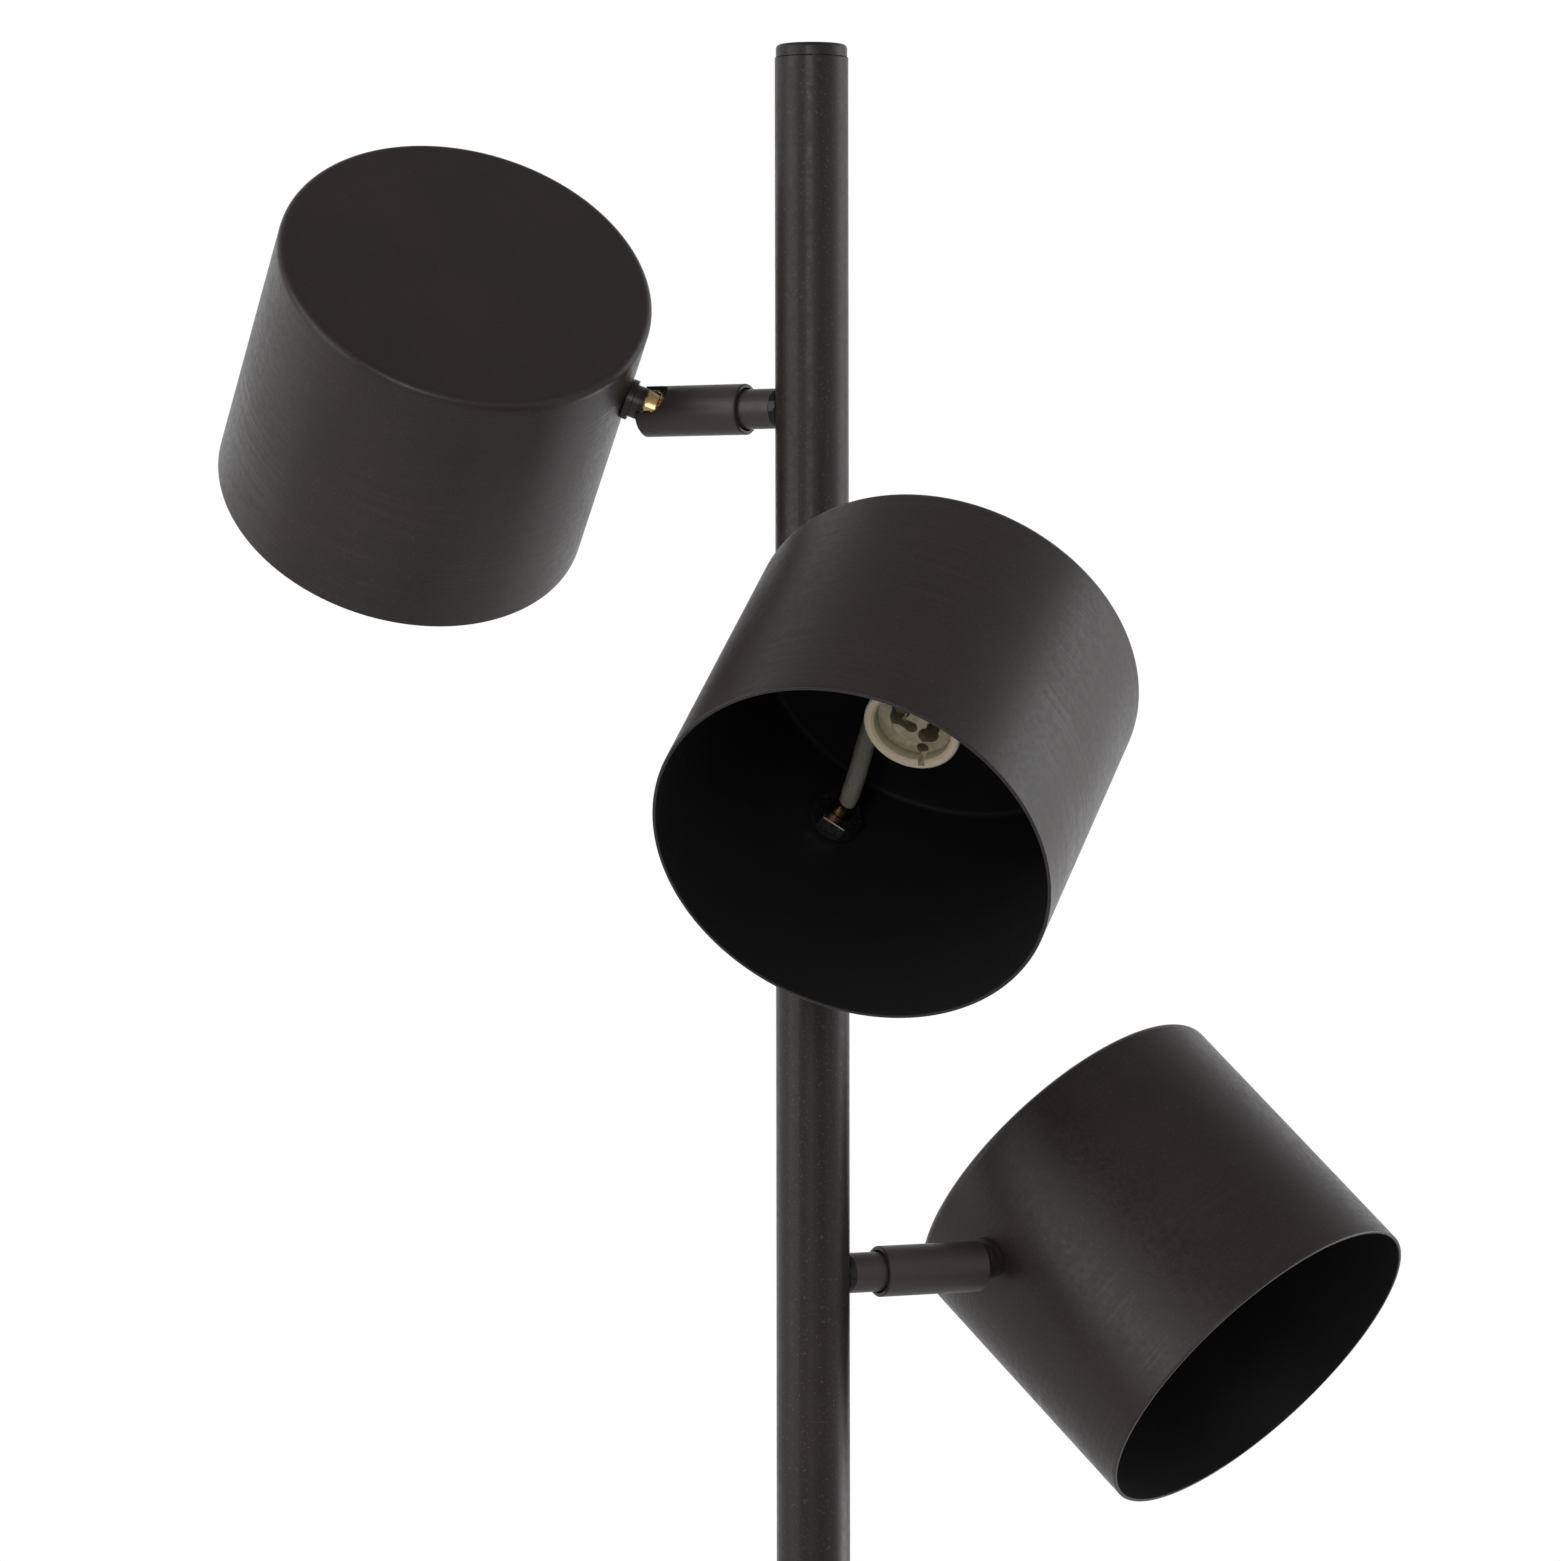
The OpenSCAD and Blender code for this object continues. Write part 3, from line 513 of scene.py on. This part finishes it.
@once
def ceramic(name, head):
    """Cream unglazed ceramic, faintly pitted, with a light rim, painted shade that darkens the dish and painted
    shade that turns the holes brown.
    """
    base = bpy.context.scene.lamp_finishes.ceramic
    material, tree, shader = new_material(name)
    place = own_place(tree)
    off = offset(tree, place, head.rim)
    depth = measure_along(tree, off, head.top)
    pits = noise(tree, place, 1600.0, 4.0, 0.7)
    lumps = noise(tree, place, 420.0, 3.0)
    wear = put_group(tree, handling_wear(), {"Scale": 160.0})
    within = ramp(tree, measure_across(tree, off, head.top), DISH_OUTSIDE, DISH_INSIDE)
    dish = maths(tree, "MULTIPLY", ramp(tree, depth, *DISH_DEPTHS), within)
    hole = maths(tree, "MULTIPLY", ramp(tree, depth, *HOLE_DEPTHS), within)
    tint = mixed(tree, maths(tree, "MULTIPLY", wear["Wear"], 0.4), colour(base), colour(base, 0.8))
    # Painted shade: the dish darkens in lumps with depth below the rim
    dish_shade = maths(tree, "MULTIPLY", dish, ramp(tree, lumps, 0.3, 0.7, 0.6, 1.0))
    shaded_dish = (share * c for share, c in zip(CERAMIC_DISH_SHADE, base))
    tint = mixed(tree, dish_shade, tint, (*shaded_dish, 1))
    # Painted shade: the holes turn brown with depth below the rim
    tint = mixed(tree, maths(tree, "MULTIPLY", hole, 0.85), tint, colour(CERAMIC_HOLE_SHADE))
    tint = mixed(tree, maths(tree, "MULTIPLY", wear["Specks"], 0.3), tint, colour(CERAMIC_SPECK))
    height = maths(tree, "ADD", pits, maths(tree, "MULTIPLY", lumps, 1.4))
    give(tree, shader, {"Base Color": tint, "Roughness": ramp(tree, pits, 0.3, 0.7, 0.45, 0.66),
                        "Normal": bump(tree, height, 0.5, CERAMIC_LUMPS)})
    return material


# Strands of the sleeving: crossings round it, crossings in a metre along it, and height
STRANDS_ROUND, STRANDS_PER_METRE, STRAND_HEIGHT = 16.0, 1150.0, 0.18 * MM


@once
def sleeving(name):
    """Woven glass-fibre sleeving: two sets of strands crossing along the lead's own UV map."""
    material, tree, shader = new_material(name)
    uv = put(tree, "UVMap", uv_map=LEAD_UV).outputs[0]
    parts = put(tree, "SeparateXYZ", {0: uv}).outputs
    heights = []
    for lean in (1.0, -1.0):
        phase = maths(tree, "ADD", maths(tree, "MULTIPLY", parts["X"], STRANDS_ROUND * lean),
                      maths(tree, "MULTIPLY", parts["Y"], STRANDS_PER_METRE))
        heights.append(maths(tree, "ABSOLUTE", maths(tree, "SINE", maths(tree, "MULTIPLY", phase, pi))))
    weave = maths(tree, "MAXIMUM", heights[0], heights[1])
    fuzz = noise(tree, own_place(tree), 700.0, 5.0)
    woven = bpy.context.scene.lamp_finishes.woven
    # Painted shade and light: darker between the strands, lighter on their crests
    tint = mixed(tree, ramp(tree, weave, 0.5, 1.0), colour(woven, 0.7), colour(woven, 1.15))
    tint = mixed(tree, ramp(tree, fuzz, 0.4, 0.7, 0.0, 0.35), tint, colour(woven, 1.5))
    height = maths(tree, "ADD", weave, maths(tree, "MULTIPLY", fuzz, 0.4))
    give(tree, shader, {"Base Color": tint, "Roughness": ramp(tree, fuzz, 0.3, 0.7, 0.55, 0.8),
                        "Normal": bump(tree, height, 0.6, STRAND_HEIGHT)})
    return material


# ------------------------------------------------------------------ meshes


def finished(name, vertices, faces, materials, uvs=None, smooth_angle=40, second=()):
    """Object from lists, in its own frame, smooth apart from edges sharper than smooth_angle. It has
    a UV for each vertex if uvs are given. The faces whose numbers are in second take the second of
    the materials."""
    mesh = bpy.data.meshes.new(name)
    mesh.from_pydata([tuple(v) for v in vertices], [], faces)
    if uvs:
        layer = mesh.uv_layers.new(name=LEAD_UV)
        for loop in mesh.loops:
            layer.data[loop.index].uv = uvs[loop.vertex_index]
    mesh.validate()
    mesh.update()
    mesh.polygons.foreach_set("use_smooth", [True] * len(mesh.polygons))
    mesh.set_sharp_from_angle(angle=radians(smooth_angle))
    for material in materials:
        mesh.materials.append(material)
    for index in second:
        mesh.polygons[index].material_index = 1
    piece = bpy.data.objects.new(name, mesh)
    bpy.context.scene.collection.objects.link(piece)
    return piece


def lathe(profile, segments):
    """Vertices and faces of a closed profile of (radius, z) points spun round Z. A radius of zero
    makes one vertex on the axis."""
    vertices, rings = [], []
    for radius, z in profile:
        if radius < 1e-7:
            rings.append([len(vertices)] * segments)
            vertices.append((0, 0, z))
        else:
            rings.append(list(range(len(vertices), len(vertices) + segments)))
            vertices += [(radius * cos(2 * pi * k / segments), radius * sin(2 * pi * k / segments), z)
                         for k in range(segments)]
    faces = []
    for low, high in zip(rings, rings[1:]):
        for k in range(segments):
            m = (k + 1) % segments
            corners = list(dict.fromkeys((low[k], low[m], high[m], high[k])))
            if len(corners) > 2:
                faces.append(corners)
    return vertices, faces


def arc(cx, cz, radius, start, end, steps):
    """Points of an arc in a profile, angles in degrees from the radius direction."""
    return [(cx + radius * cos(radians(start + (end - start) * k / steps)),
             cz + radius * sin(radians(start + (end - start) * k / steps))) for k in range(steps + 1)]


def smooth_path(points, steps):
    """Points on a smooth curve through the given ones."""
    path = [points[0]]
    last = len(points) - 1
    for k in range(last):
        a, b, c, d = (points[max(k - 1, 0)], points[k], points[k + 1], points[min(k + 2, last)])
        for j in range(1, steps + 1):
            f = j / steps
            path.append(0.5 * (2 * b + (c - a) * f + (2 * a - 5 * b + 4 * c - d) * f * f
                               + (3 * b - a - 3 * c + d) * f * f * f))
    return path


def sweep(path, radii, sides):
    """Round tube with closed ends along a path, with one radius for each point: vertices, faces and
    one UV for each vertex. U runs once round and V is the distance along in metres."""
    vertices, faces, uvs = [], [], []
    along = [(path[min(k + 1, len(path) - 1)] - path[max(k - 1, 0)]).normalized()
             for k in range(len(path))]
    side = along[0].orthogonal().normalized()
    distance = 0.0
    for k, point in enumerate(path):
        side = (side - along[k] * side.dot(along[k])).normalized()
        up = along[k].cross(side)
        if k:
            distance += (point - path[k - 1]).length
        for j in range(sides + 1):
            turn = 2 * pi * j / sides
            vertices.append(point + (side * cos(turn) + up * sin(turn)) * radii[k])
            uvs.append((j / sides, distance))
    row = sides + 1
    for k in range(len(path) - 1):
        for j in range(sides):
            faces.append([k * row + j, k * row + j + 1, (k + 1) * row + j + 1, (k + 1) * row + j])
    for start, turned in ((0, True), ((len(path) - 1) * row, False)):
        cap = [start + j for j in range(sides)]
        faces.append(cap[::-1] if turned else cap)
    return vertices, faces, uvs


# ------------------------------------------------------------------ pieces


class LampOperator:
    bl_options = {"REGISTER", "UNDO"}


def soften(nodes, width, angle=32):
    """Rounds the edges of CAD nodes that are sharper than that angle, by a bevel of that width. The
    nodes come with their faces apart along each sharp edge, so the faces are joined first."""
    for name in nodes:
        modifiers = frame["nodes"][name].modifiers
        modifiers.new("Joined faces", "WELD").merge_threshold = 0.002 * MM
        edge = modifiers.new("Edge rounding", "BEVEL")
        edge.width, edge.segments = width, 2
        edge.limit_method, edge.angle_limit = "ANGLE", radians(angle)
        edge.use_clamp_overlap = False
        modifiers.new("Flat faces", "WEIGHTED_NORMAL").keep_sharp = True


def paint(nodes, material):
    """Gives CAD nodes a material."""
    for name in nodes:
        for slot in frame["nodes"][name].material_slots:
            slot.material = material


def each(piece):
    return [f"{head}_{piece}" for head in HEADS]


def pole_paint(name, seam=None):
    return coated_metal(name, bpy.context.scene.lamp_finishes.pole, 0.38, flecks=0.7, gloss=0.24,
                        seam=seam)


def arm_paint():
    return coated_metal("Arm powder coat", bpy.context.scene.lamp_finishes.arm, 0.36, flecks=0.35,
                        gloss=0.3)


def steel():
    return bare_metal("Plated steel", (0.56, 0.56, 0.57), 0.34)


def brass():
    return bare_metal("Turned brass", bpy.context.scene.lamp_finishes.brass, 0.24)


class LAMP_OT_base(LampOperator, Operator):
    """Finish the base: cover, weight, foam disc, nut and cable grommet"""

    bl_idname = "lamp.base"
    bl_label = "Base"

    def execute(self, context):
        finishes = context.scene.lamp_finishes
        paint(["base_cover"], coated_metal("Base powder coat", finishes.pole, 0.45, flecks=0.5))
        paint(["base_weight"], moulded("Cast weight", (0.09, 0.09, 0.092), 0.72, grain=500.0,
                                       depth=0.3 * MM, fleck=0.4))
        paint(["base_pad"], moulded("Foam disc", (0.018, 0.018, 0.018), 0.88, grain=900.0,
                                    depth=0.3 * MM))
        paint(["base_nut", "pole_foot", "pole_couplers"], steel())
        paint(["cable_grommet"], moulded("Soft black rubber", (0.014, 0.014, 0.014), 0.62))
        return {"FINISHED"}


class LAMP_OT_pole(LampOperator, Operator):
    """Finish the pole tubes and the end cap"""

    bl_idname = "lamp.pole"
    bl_label = "Pole"

    def execute(self, context):
        paint(["pole_lower", "pole_middle"], pole_paint("Pole powder coat"))
        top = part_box("pole_upper")[1][2]
        paint(["pole_upper", "pole_cap"], pole_paint("Pole top powder coat", seam=top))
        return {"FINISHED"}


class LAMP_OT_arms(LampOperator, Operator):
    """Finish the arms, their saddles, nipples and nuts"""

    bl_idname = "lamp.arms"
    bl_label = "Arms"

    def execute(self, context):
        paint(each("arm_tube"), arm_paint())
        soften(["arm_saddles"], 0.3 * MM)
        paint(["arm_saddles"], moulded("Glossy black plastic", (0.003, 0.003, 0.003), 0.10, grain=300.0,
                                       depth=0.01 * MM, fleck=0.1, gloss=0.2))
        paint(["arm_nipples", "arm_nuts"], brass())
        return {"FINISHED"}


class LAMP_OT_swivels(LampOperator, Operator):
    """Finish the swivel plugs, sleeves, stop screws, tilt pins and washers"""

    bl_idname = "lamp.swivels"
    bl_label = "Swivels"

    def execute(self, context):
        paint(each("swivel_sleeve") + each("tilt_pins"), arm_paint())
        paint(each("swivel_plug"), brass())
        paint(each("stop_screw") + each("tilt_washers"), steel())
        return {"FINISHED"}


class LAMP_OT_knuckles(LampOperator, Operator):
    """Finish the brass knuckles and their dark collars"""

    bl_idname = "lamp.knuckles"
    bl_label = "Knuckles"

    def execute(self, context):
        for head in heads:
            name = head.name.capitalize() + " knuckle brass"
            paint([head.name + "_knuckle"], knuckle_brass(name, head))
        paint(each("knuckle_collar"), coated_metal("Collar lacquer", (0.0165, 0.0132, 0.0122), 0.36,
                                                   flecks=0.2, gloss=0.3))
        return {"FINISHED"}


SHADE_SIDES = 192


def shade_profile(size):
    """Closed profile of a shade, from the middle of the closed end out, down, in and back. Points
    close to the roundings keep the flat and straight stretches flat in the shading."""
    r, wall, edge, rim = size.radius, size.wall, size.edge, size.rim
    low = -size.length
    inner = r - wall
    points = [(0, 0)] + [(r * f, 0) for f in (0.25, 0.5, 0.75, 0.9)] + [(r - edge - 0.2 * MM, 0)]
    points += arc(r - edge, -edge, edge, 90, 0, 10)
    drop = low + rim + edge
    points += [(r, -edge + drop * f) for f in (0.01, 0.1, 0.2, 0.35, 0.5, 0.65, 0.8, 0.9, 0.99)]
    points += arc(r - rim, low + rim, rim, 0, -90, 4)
    points += arc(inner + rim, low + rim, rim, -90, -180, 4)
    points += [(inner, low + rim - drop * f) for f in (0.01, 0.2, 0.4, 0.6, 0.8, 0.99)]
    points += arc(r - edge, -edge, edge - wall, 0, 90, 8)
    points += [(inner * f, -wall) for f in (0.9, 0.75, 0.5, 0.25)] + [(0, -wall)]
    return points


class LAMP_OT_shades(LampOperator, Operator):
    """Make the three spun shades with rounded rims, and finish what clamps them"""

    bl_idname = "lamp.shades"
    bl_label = "Shades"

    def execute(self, context):
        finishes = context.scene.lamp_finishes
        outside = coated_metal("Shade powder coat", finishes.shade, 0.38, flecks=0.3, spun=0.3,
                               gloss=0.28)
        # The inside coat is a darker, cooler copy of the shade coat: painted shade inside the shades
        inside = coated_metal("Shade inside coat", finishes.inside, 0.46, flecks=0.05, peel=0.9,
                              gloss=0.08)
        size = context.scene.lamp_shades
        vertices, faces = lathe(shade_profile(size), SHADE_SIDES)
        faces = [face[::-1] for face in faces]
        # The inside's faces: nearer the axis than the middle of the wall, below the closed end's sheet
        hollow = size.radius - 0.7 * size.wall
        within = [k for k, face in enumerate(faces)
                  if all(hypot(vertices[v][0], vertices[v][1]) < hollow
                         and vertices[v][2] < -0.9 * size.wall for v in face)]
        for head in heads:
            shell = finished(head.name + "_shade_shell", vertices, faces, [outside, inside],
                             smooth_angle=60, second=within)
            shell.matrix_world = head.shade
            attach(shell, head.body("head"))
            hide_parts(head.name + "_shade")
        # The washer inside takes the inside coat, painted shade that sinks it into the dark inside
        paint(each("shade_washer"), inside)
        paint(each("shade_nut"), bare_metal("Dark plated nut", (0.50, 0.50, 0.51), 0.20, darkened=0.4))
        soften(each("shade_nut"), 0.3 * MM, angle=18)
        return {"FINISHED"}


class LAMP_OT_lampholders(LampOperator, Operator):
    """Finish the ceramic lampholders, their brackets and screws"""

    bl_idname = "lamp.lampholders"
    bl_label = "Lampholders"

    def execute(self, context):
        for head in heads:
            name = head.name.capitalize() + " lampholder ceramic"
            paint([head.name + "_lampholder"], ceramic(name, head))
        paint(each("holder_bracket") + each("holder_screws"), steel())
        return {"FINISHED"}


# Middle line of the sleeved lead in the shade's frame, from the stem to the back of the lampholder
LEAD_ROUTE = [(60.7, 0, -21.5), (45, 0, -21.5), (42.7, 0, -21.5), (40.9, 0.3, -21.1),
              (38.8, 0.9, -20.4), (33.9, 2.4, -18.4), (25.3, 5.5, -14.2), (16.7, 8, -9.8),
              (10.5, 8.2, -7.6), (7.2, 6.4, -10), (7, 6, -13), (7, 6, -15.7)]
# X at which the stem ends in the shade, and the length over which the sleeving then loosens
STEM_END, LOOSENS_OVER = 42.3, 2.5
# Supply cable: its end by the grommet, the radius of its bend, its height in the base and its top
CABLE_END, CABLE_BEND, CABLE_LOW, CABLE_TOP = 111.0, 6.0, 5.2, 1417.5
# Where the lead in an arm begins and ends, from the pole's axis
ARM_LEAD = 2.9, 41.0
# Wires in a knuckle: how far they reach either side of the tilt pins, how far over them towards the
# slot and back towards the arm their bend is drawn, and how far each lies to its side
WIRE_REACH, WIRE_OVER, WIRE_BACK, WIRE_ASIDE = 7.5, 3.4, 2.4, 0.66
# Sides round each, and steps along it: for the sleeved lead between two points of its route, for the
# cable in the pole
LEAD_SIDES, CABLE_SIDES, ARM_LEAD_SIDES, WIRE_SIDES = 28, 24, 20, 14
LEAD_STEPS, CABLE_STEPS, WIRE_STEPS = 7, 24, 24


def tube(name, points, radius, sides, material, body):
    """Round tube along points in millimetres in the lamp's frame, on that body."""
    vertices, faces, uvs = sweep([Vector(p) * MM for p in points], [radius] * len(points), sides)
    piece = finished(name, vertices, faces, [material], uvs)
    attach(piece, body)
    return piece


class LAMP_OT_leads(LampOperator, Operator):
    """Make the woven leads in the shades, the wires in the knuckles and the wiring in the pole"""

    bl_idname = "lamp.leads"
    bl_label = "Leads"

    def execute(self, context):
        size = context.scene.lamp_wiring
        woven = sleeving("Woven sleeving")
        route = smooth_path([Vector(p) * MM for p in LEAD_ROUTE], LEAD_STEPS)
        radii = []
        for point in route:
            out = min(1.0, max(0.0, (STEM_END - point.x / MM) / LOOSENS_OVER))
            radii.append(size.sleeving + (size.fluffed - size.sleeving) * out)
        vertices, faces, uvs = sweep(route, radii, LEAD_SIDES)
        for head in heads:
            lead = finished(head.name + "_lead_sleeving", vertices, faces, [woven], uvs)
            lead.matrix_world = head.shade
            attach(lead, head.body("head"))
            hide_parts(head.name + "_shade_lead")
        self.supply(size)
        self.wires(size)
        return {"FINISHED"}

    def supply(self, size):
        """The supply cable through the base and up the pole, and the lead in each arm."""
        sheath = moulded("Cable sheath", (0.42, 0.40, 0.37), 0.5, grain=900.0, depth=0.02 * MM)
        foot = CABLE_LOW + CABLE_BEND
        route = [(0, CABLE_END - (CABLE_END - CABLE_BEND) * k / 8, CABLE_LOW) for k in range(8)]
        route += [(0, y, z) for y, z in arc(CABLE_BEND, foot, CABLE_BEND, -90, -180, 9)]
        route += [(0, 0, foot + (CABLE_TOP - foot) * k / CABLE_STEPS)
                  for k in range(1, CABLE_STEPS + 1)]
        cable = tube("supply_cable", route, size.cable, CABLE_SIDES, sheath, "stand")
        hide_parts("pole_wiring")
        for head in heads:
            centre = Vector((0, 0, head.pivot.z)) / MM
            near, far = ARM_LEAD
            points = [centre + head.arm * (near + (far - near) * k / 6) for k in range(7)]
            lead = tube(head.name + "_arm_lead", points, size.arm_lead, ARM_LEAD_SIDES, sheath, "stand")
            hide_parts("pole_wiring")

    def wires(self, size):
        """Two insulated wires from each arm lead through the sleeve into the knuckle."""
        insulation = moulded("Wire insulation", bpy.context.scene.lamp_finishes.wire, 0.30, grain=700.0,
                             depth=0.02 * MM, fleck=0.3, gloss=0.5)
        for head in heads:
            start = head.pivot - head.arm * WIRE_REACH * MM
            end = head.pivot + head.stem * WIRE_REACH * MM
            over = head.pivot + (head.slot * WIRE_OVER - head.arm * WIRE_BACK) * MM
            for index, aside in enumerate((WIRE_ASIDE, -WIRE_ASIDE)):
                parts = [k / WIRE_STEPS for k in range(WIRE_STEPS + 1)]
                path = [start.lerp(over, f).lerp(over.lerp(end, f), f) + head.across * aside * MM
                        for f in parts]
                vertices, faces, uvs = sweep(path, [size.wire] * len(path), WIRE_SIDES)
                wire = finished(f"{head.name}_wire_{index + 1}", vertices, faces, [insulation], uvs)
                head.body("sleeve")
                head.body("head")
                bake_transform(wire)


# ------------------------------------------------------------------ stage


LENS = 152.77
CAMERA_PLACE = 0, -1.80162, 1.32883
# Turns of the camera about Z, X and Y from level and straight along Y, in radians
CAMERA_TURNS = ((0.0049, "Z"), (-0.0159, "X"), (0.0014, "Y"))
FLOOR_HALF = 3.0
# Lights by their setting: name, place, what they aim at, and width and height
LIGHTS = {"left": ("Left light", (-2.4, -1.1, 1.9), (0, 0, 1.2), (1.6, 2.2)),
          "right": ("Right light", (2.6, 0.6, 1.7), (0, 0, 1.2), (1.6, 2.2)),
          "low": ("Low light", (2.2, 0.9, 0.35), (0, 0, 1.4), (1.4, 0.9)),
          "fill": ("Front light", (0.1, -2.8, 1.98), (0, 0, 1.35), (1.6, 1.0)),
          "strip": ("Strip light", (-0.38, -2.5, 1.78), (0, 0, 1.35), (0.14, 0.7))}


def area_light(name, place, target, size, power):
    light = bpy.data.lights.new(name, "AREA")
    light.shape = "RECTANGLE"
    light.size, light.size_y, light.energy = size[0], size[1], power
    lamp = bpy.data.objects.new(name, light)
    lamp.location = place
    lamp.rotation_euler = (Vector(target) - Vector(place)).to_track_quat("-Z", "Y").to_euler()
    bpy.context.scene.collection.objects.link(lamp)


class LAMP_OT_stage(LampOperator, Operator):
    """Make the camera, the pale floor, the white surroundings and the soft lights"""

    bl_idname = "lamp.stage"
    bl_label = "Stage"

    def room(self, tree, light):
        """Light level of the room by direction: white walls, a darker ceiling and a darker front."""
        parts = put(tree, "SeparateXYZ", {0: put(tree, "TexCoord").outputs["Generated"]}).outputs
        ceiling = ramp(tree, parts["Z"], 0.35, 0.85, 1.0, light.ceiling)
        front = ramp(tree, parts["Y"], -0.5, -0.9, 1.0, light.front)
        return maths(tree, "MULTIPLY", ceiling, front)

    def camera(self, scene):
        camera = bpy.data.objects.new("Camera", bpy.data.cameras.new("Camera"))
        camera.data.sensor_width, camera.data.lens = 36.0, LENS
        camera.data.clip_start, camera.data.clip_end = 0.05, 50
        placed = Matrix.Translation(CAMERA_PLACE)
        for angle, axis in CAMERA_TURNS:
            placed = placed @ Matrix.Rotation(angle, 4, axis)
        camera.matrix_world = placed @ Matrix.Rotation(radians(90), 4, "X")
        scene.collection.objects.link(camera)
        scene.camera = camera

    def surroundings(self, scene, light):
        world = bpy.data.worlds.new("White room")
        world.use_nodes = True
        scene.world = world
        tree = world.node_tree
        path = put(tree, "LightPath").outputs
        seen = maths(tree, "MAXIMUM", path["Is Camera Ray"],
                     maths(tree, "MAXIMUM", path["Is Glossy Ray"], path["Is Transmission Ray"]))
        level = maths(tree, "MULTIPLY", ramp(tree, seen, 0, 1, light.room, 1.0), self.room(tree, light))
        strength = maths(tree, "MAXIMUM", level, path["Is Camera Ray"])
        give(tree, tree.nodes["Background"], {"Color": (1, 1, 1, 1), "Strength": strength})

    def floor(self):
        material, tree, shader = new_material("Pale floor")
        cloud = noise(tree, own_place(tree), 3.0, 3.0)
        tint = mixed(tree, ramp(tree, cloud, 0.3, 0.7), (0.86, 0.86, 0.86, 1), (0.9, 0.9, 0.9, 1))
        give(tree, shader, {"Base Color": tint, "Roughness": 0.85})
        corners = [(x * FLOOR_HALF, y * FLOOR_HALF, 0) for x, y in ((-1, -1), (1, -1), (1, 1), (-1, 1))]
        finished("Floor", corners, [[0, 1, 2, 3]], [material])

    def execute(self, context):
        scene = context.scene
        scene.view_settings.view_transform = "Standard"
        light = scene.lamp_stage
        self.camera(scene)
        self.surroundings(scene, light)
        self.floor()
        for key, (name, place, target, size) in LIGHTS.items():
            area_light(name, place, target, size, getattr(light, key))
        return {"FINISHED"}


STEPS = ((LAMP_OT_stage, "WORLD"), (LAMP_OT_base, "MESH_CYLINDER"), (LAMP_OT_pole, "MESH_CYLINDER"),
         (LAMP_OT_arms, "MESH_CYLINDER"), (LAMP_OT_swivels, "MESH_CYLINDER"),
         (LAMP_OT_knuckles, "MESH_CYLINDER"), (LAMP_OT_shades, "LIGHT_SPOT"),
         (LAMP_OT_lampholders, "LIGHT"), (LAMP_OT_leads, "CURVE_PATH"))


class LAMP_PT_sidebar(Panel):
    """Settings and steps of the pole lamp"""

    bl_idname = "LAMP_PT_sidebar"
    bl_label = "Pole Lamp"
    bl_space_type = "VIEW_3D"
    bl_region_type = "UI"
    bl_category = "Lamp"

    def draw(self, context):
        layout = self.layout
        for key, kind in SETTINGS.items():
            box = layout.box()
            for field in kind.__annotations__:
                box.prop(getattr(context.scene, key), field)
        for step, icon in STEPS:
            layout.operator(step.bl_idname, icon=icon)


CLASSES = (*SETTINGS.values(), *(step for step, icon in STEPS), LAMP_PT_sidebar)


def register():
    for kind in CLASSES:
        bpy.utils.register_class(kind)
    for key, kind in SETTINGS.items():
        setattr(bpy.types.Scene, key, PointerProperty(type=kind))


def unregister():
    for key in SETTINGS:
        delattr(bpy.types.Scene, key)
    for kind in reversed(CLASSES):
        bpy.utils.unregister_class(kind)


def main():
    register()
    for step, icon in STEPS:
        group, name = step.bl_idname.split(".")
        getattr(getattr(bpy.ops, group), name)()


if __name__ == "__main__":
    main()
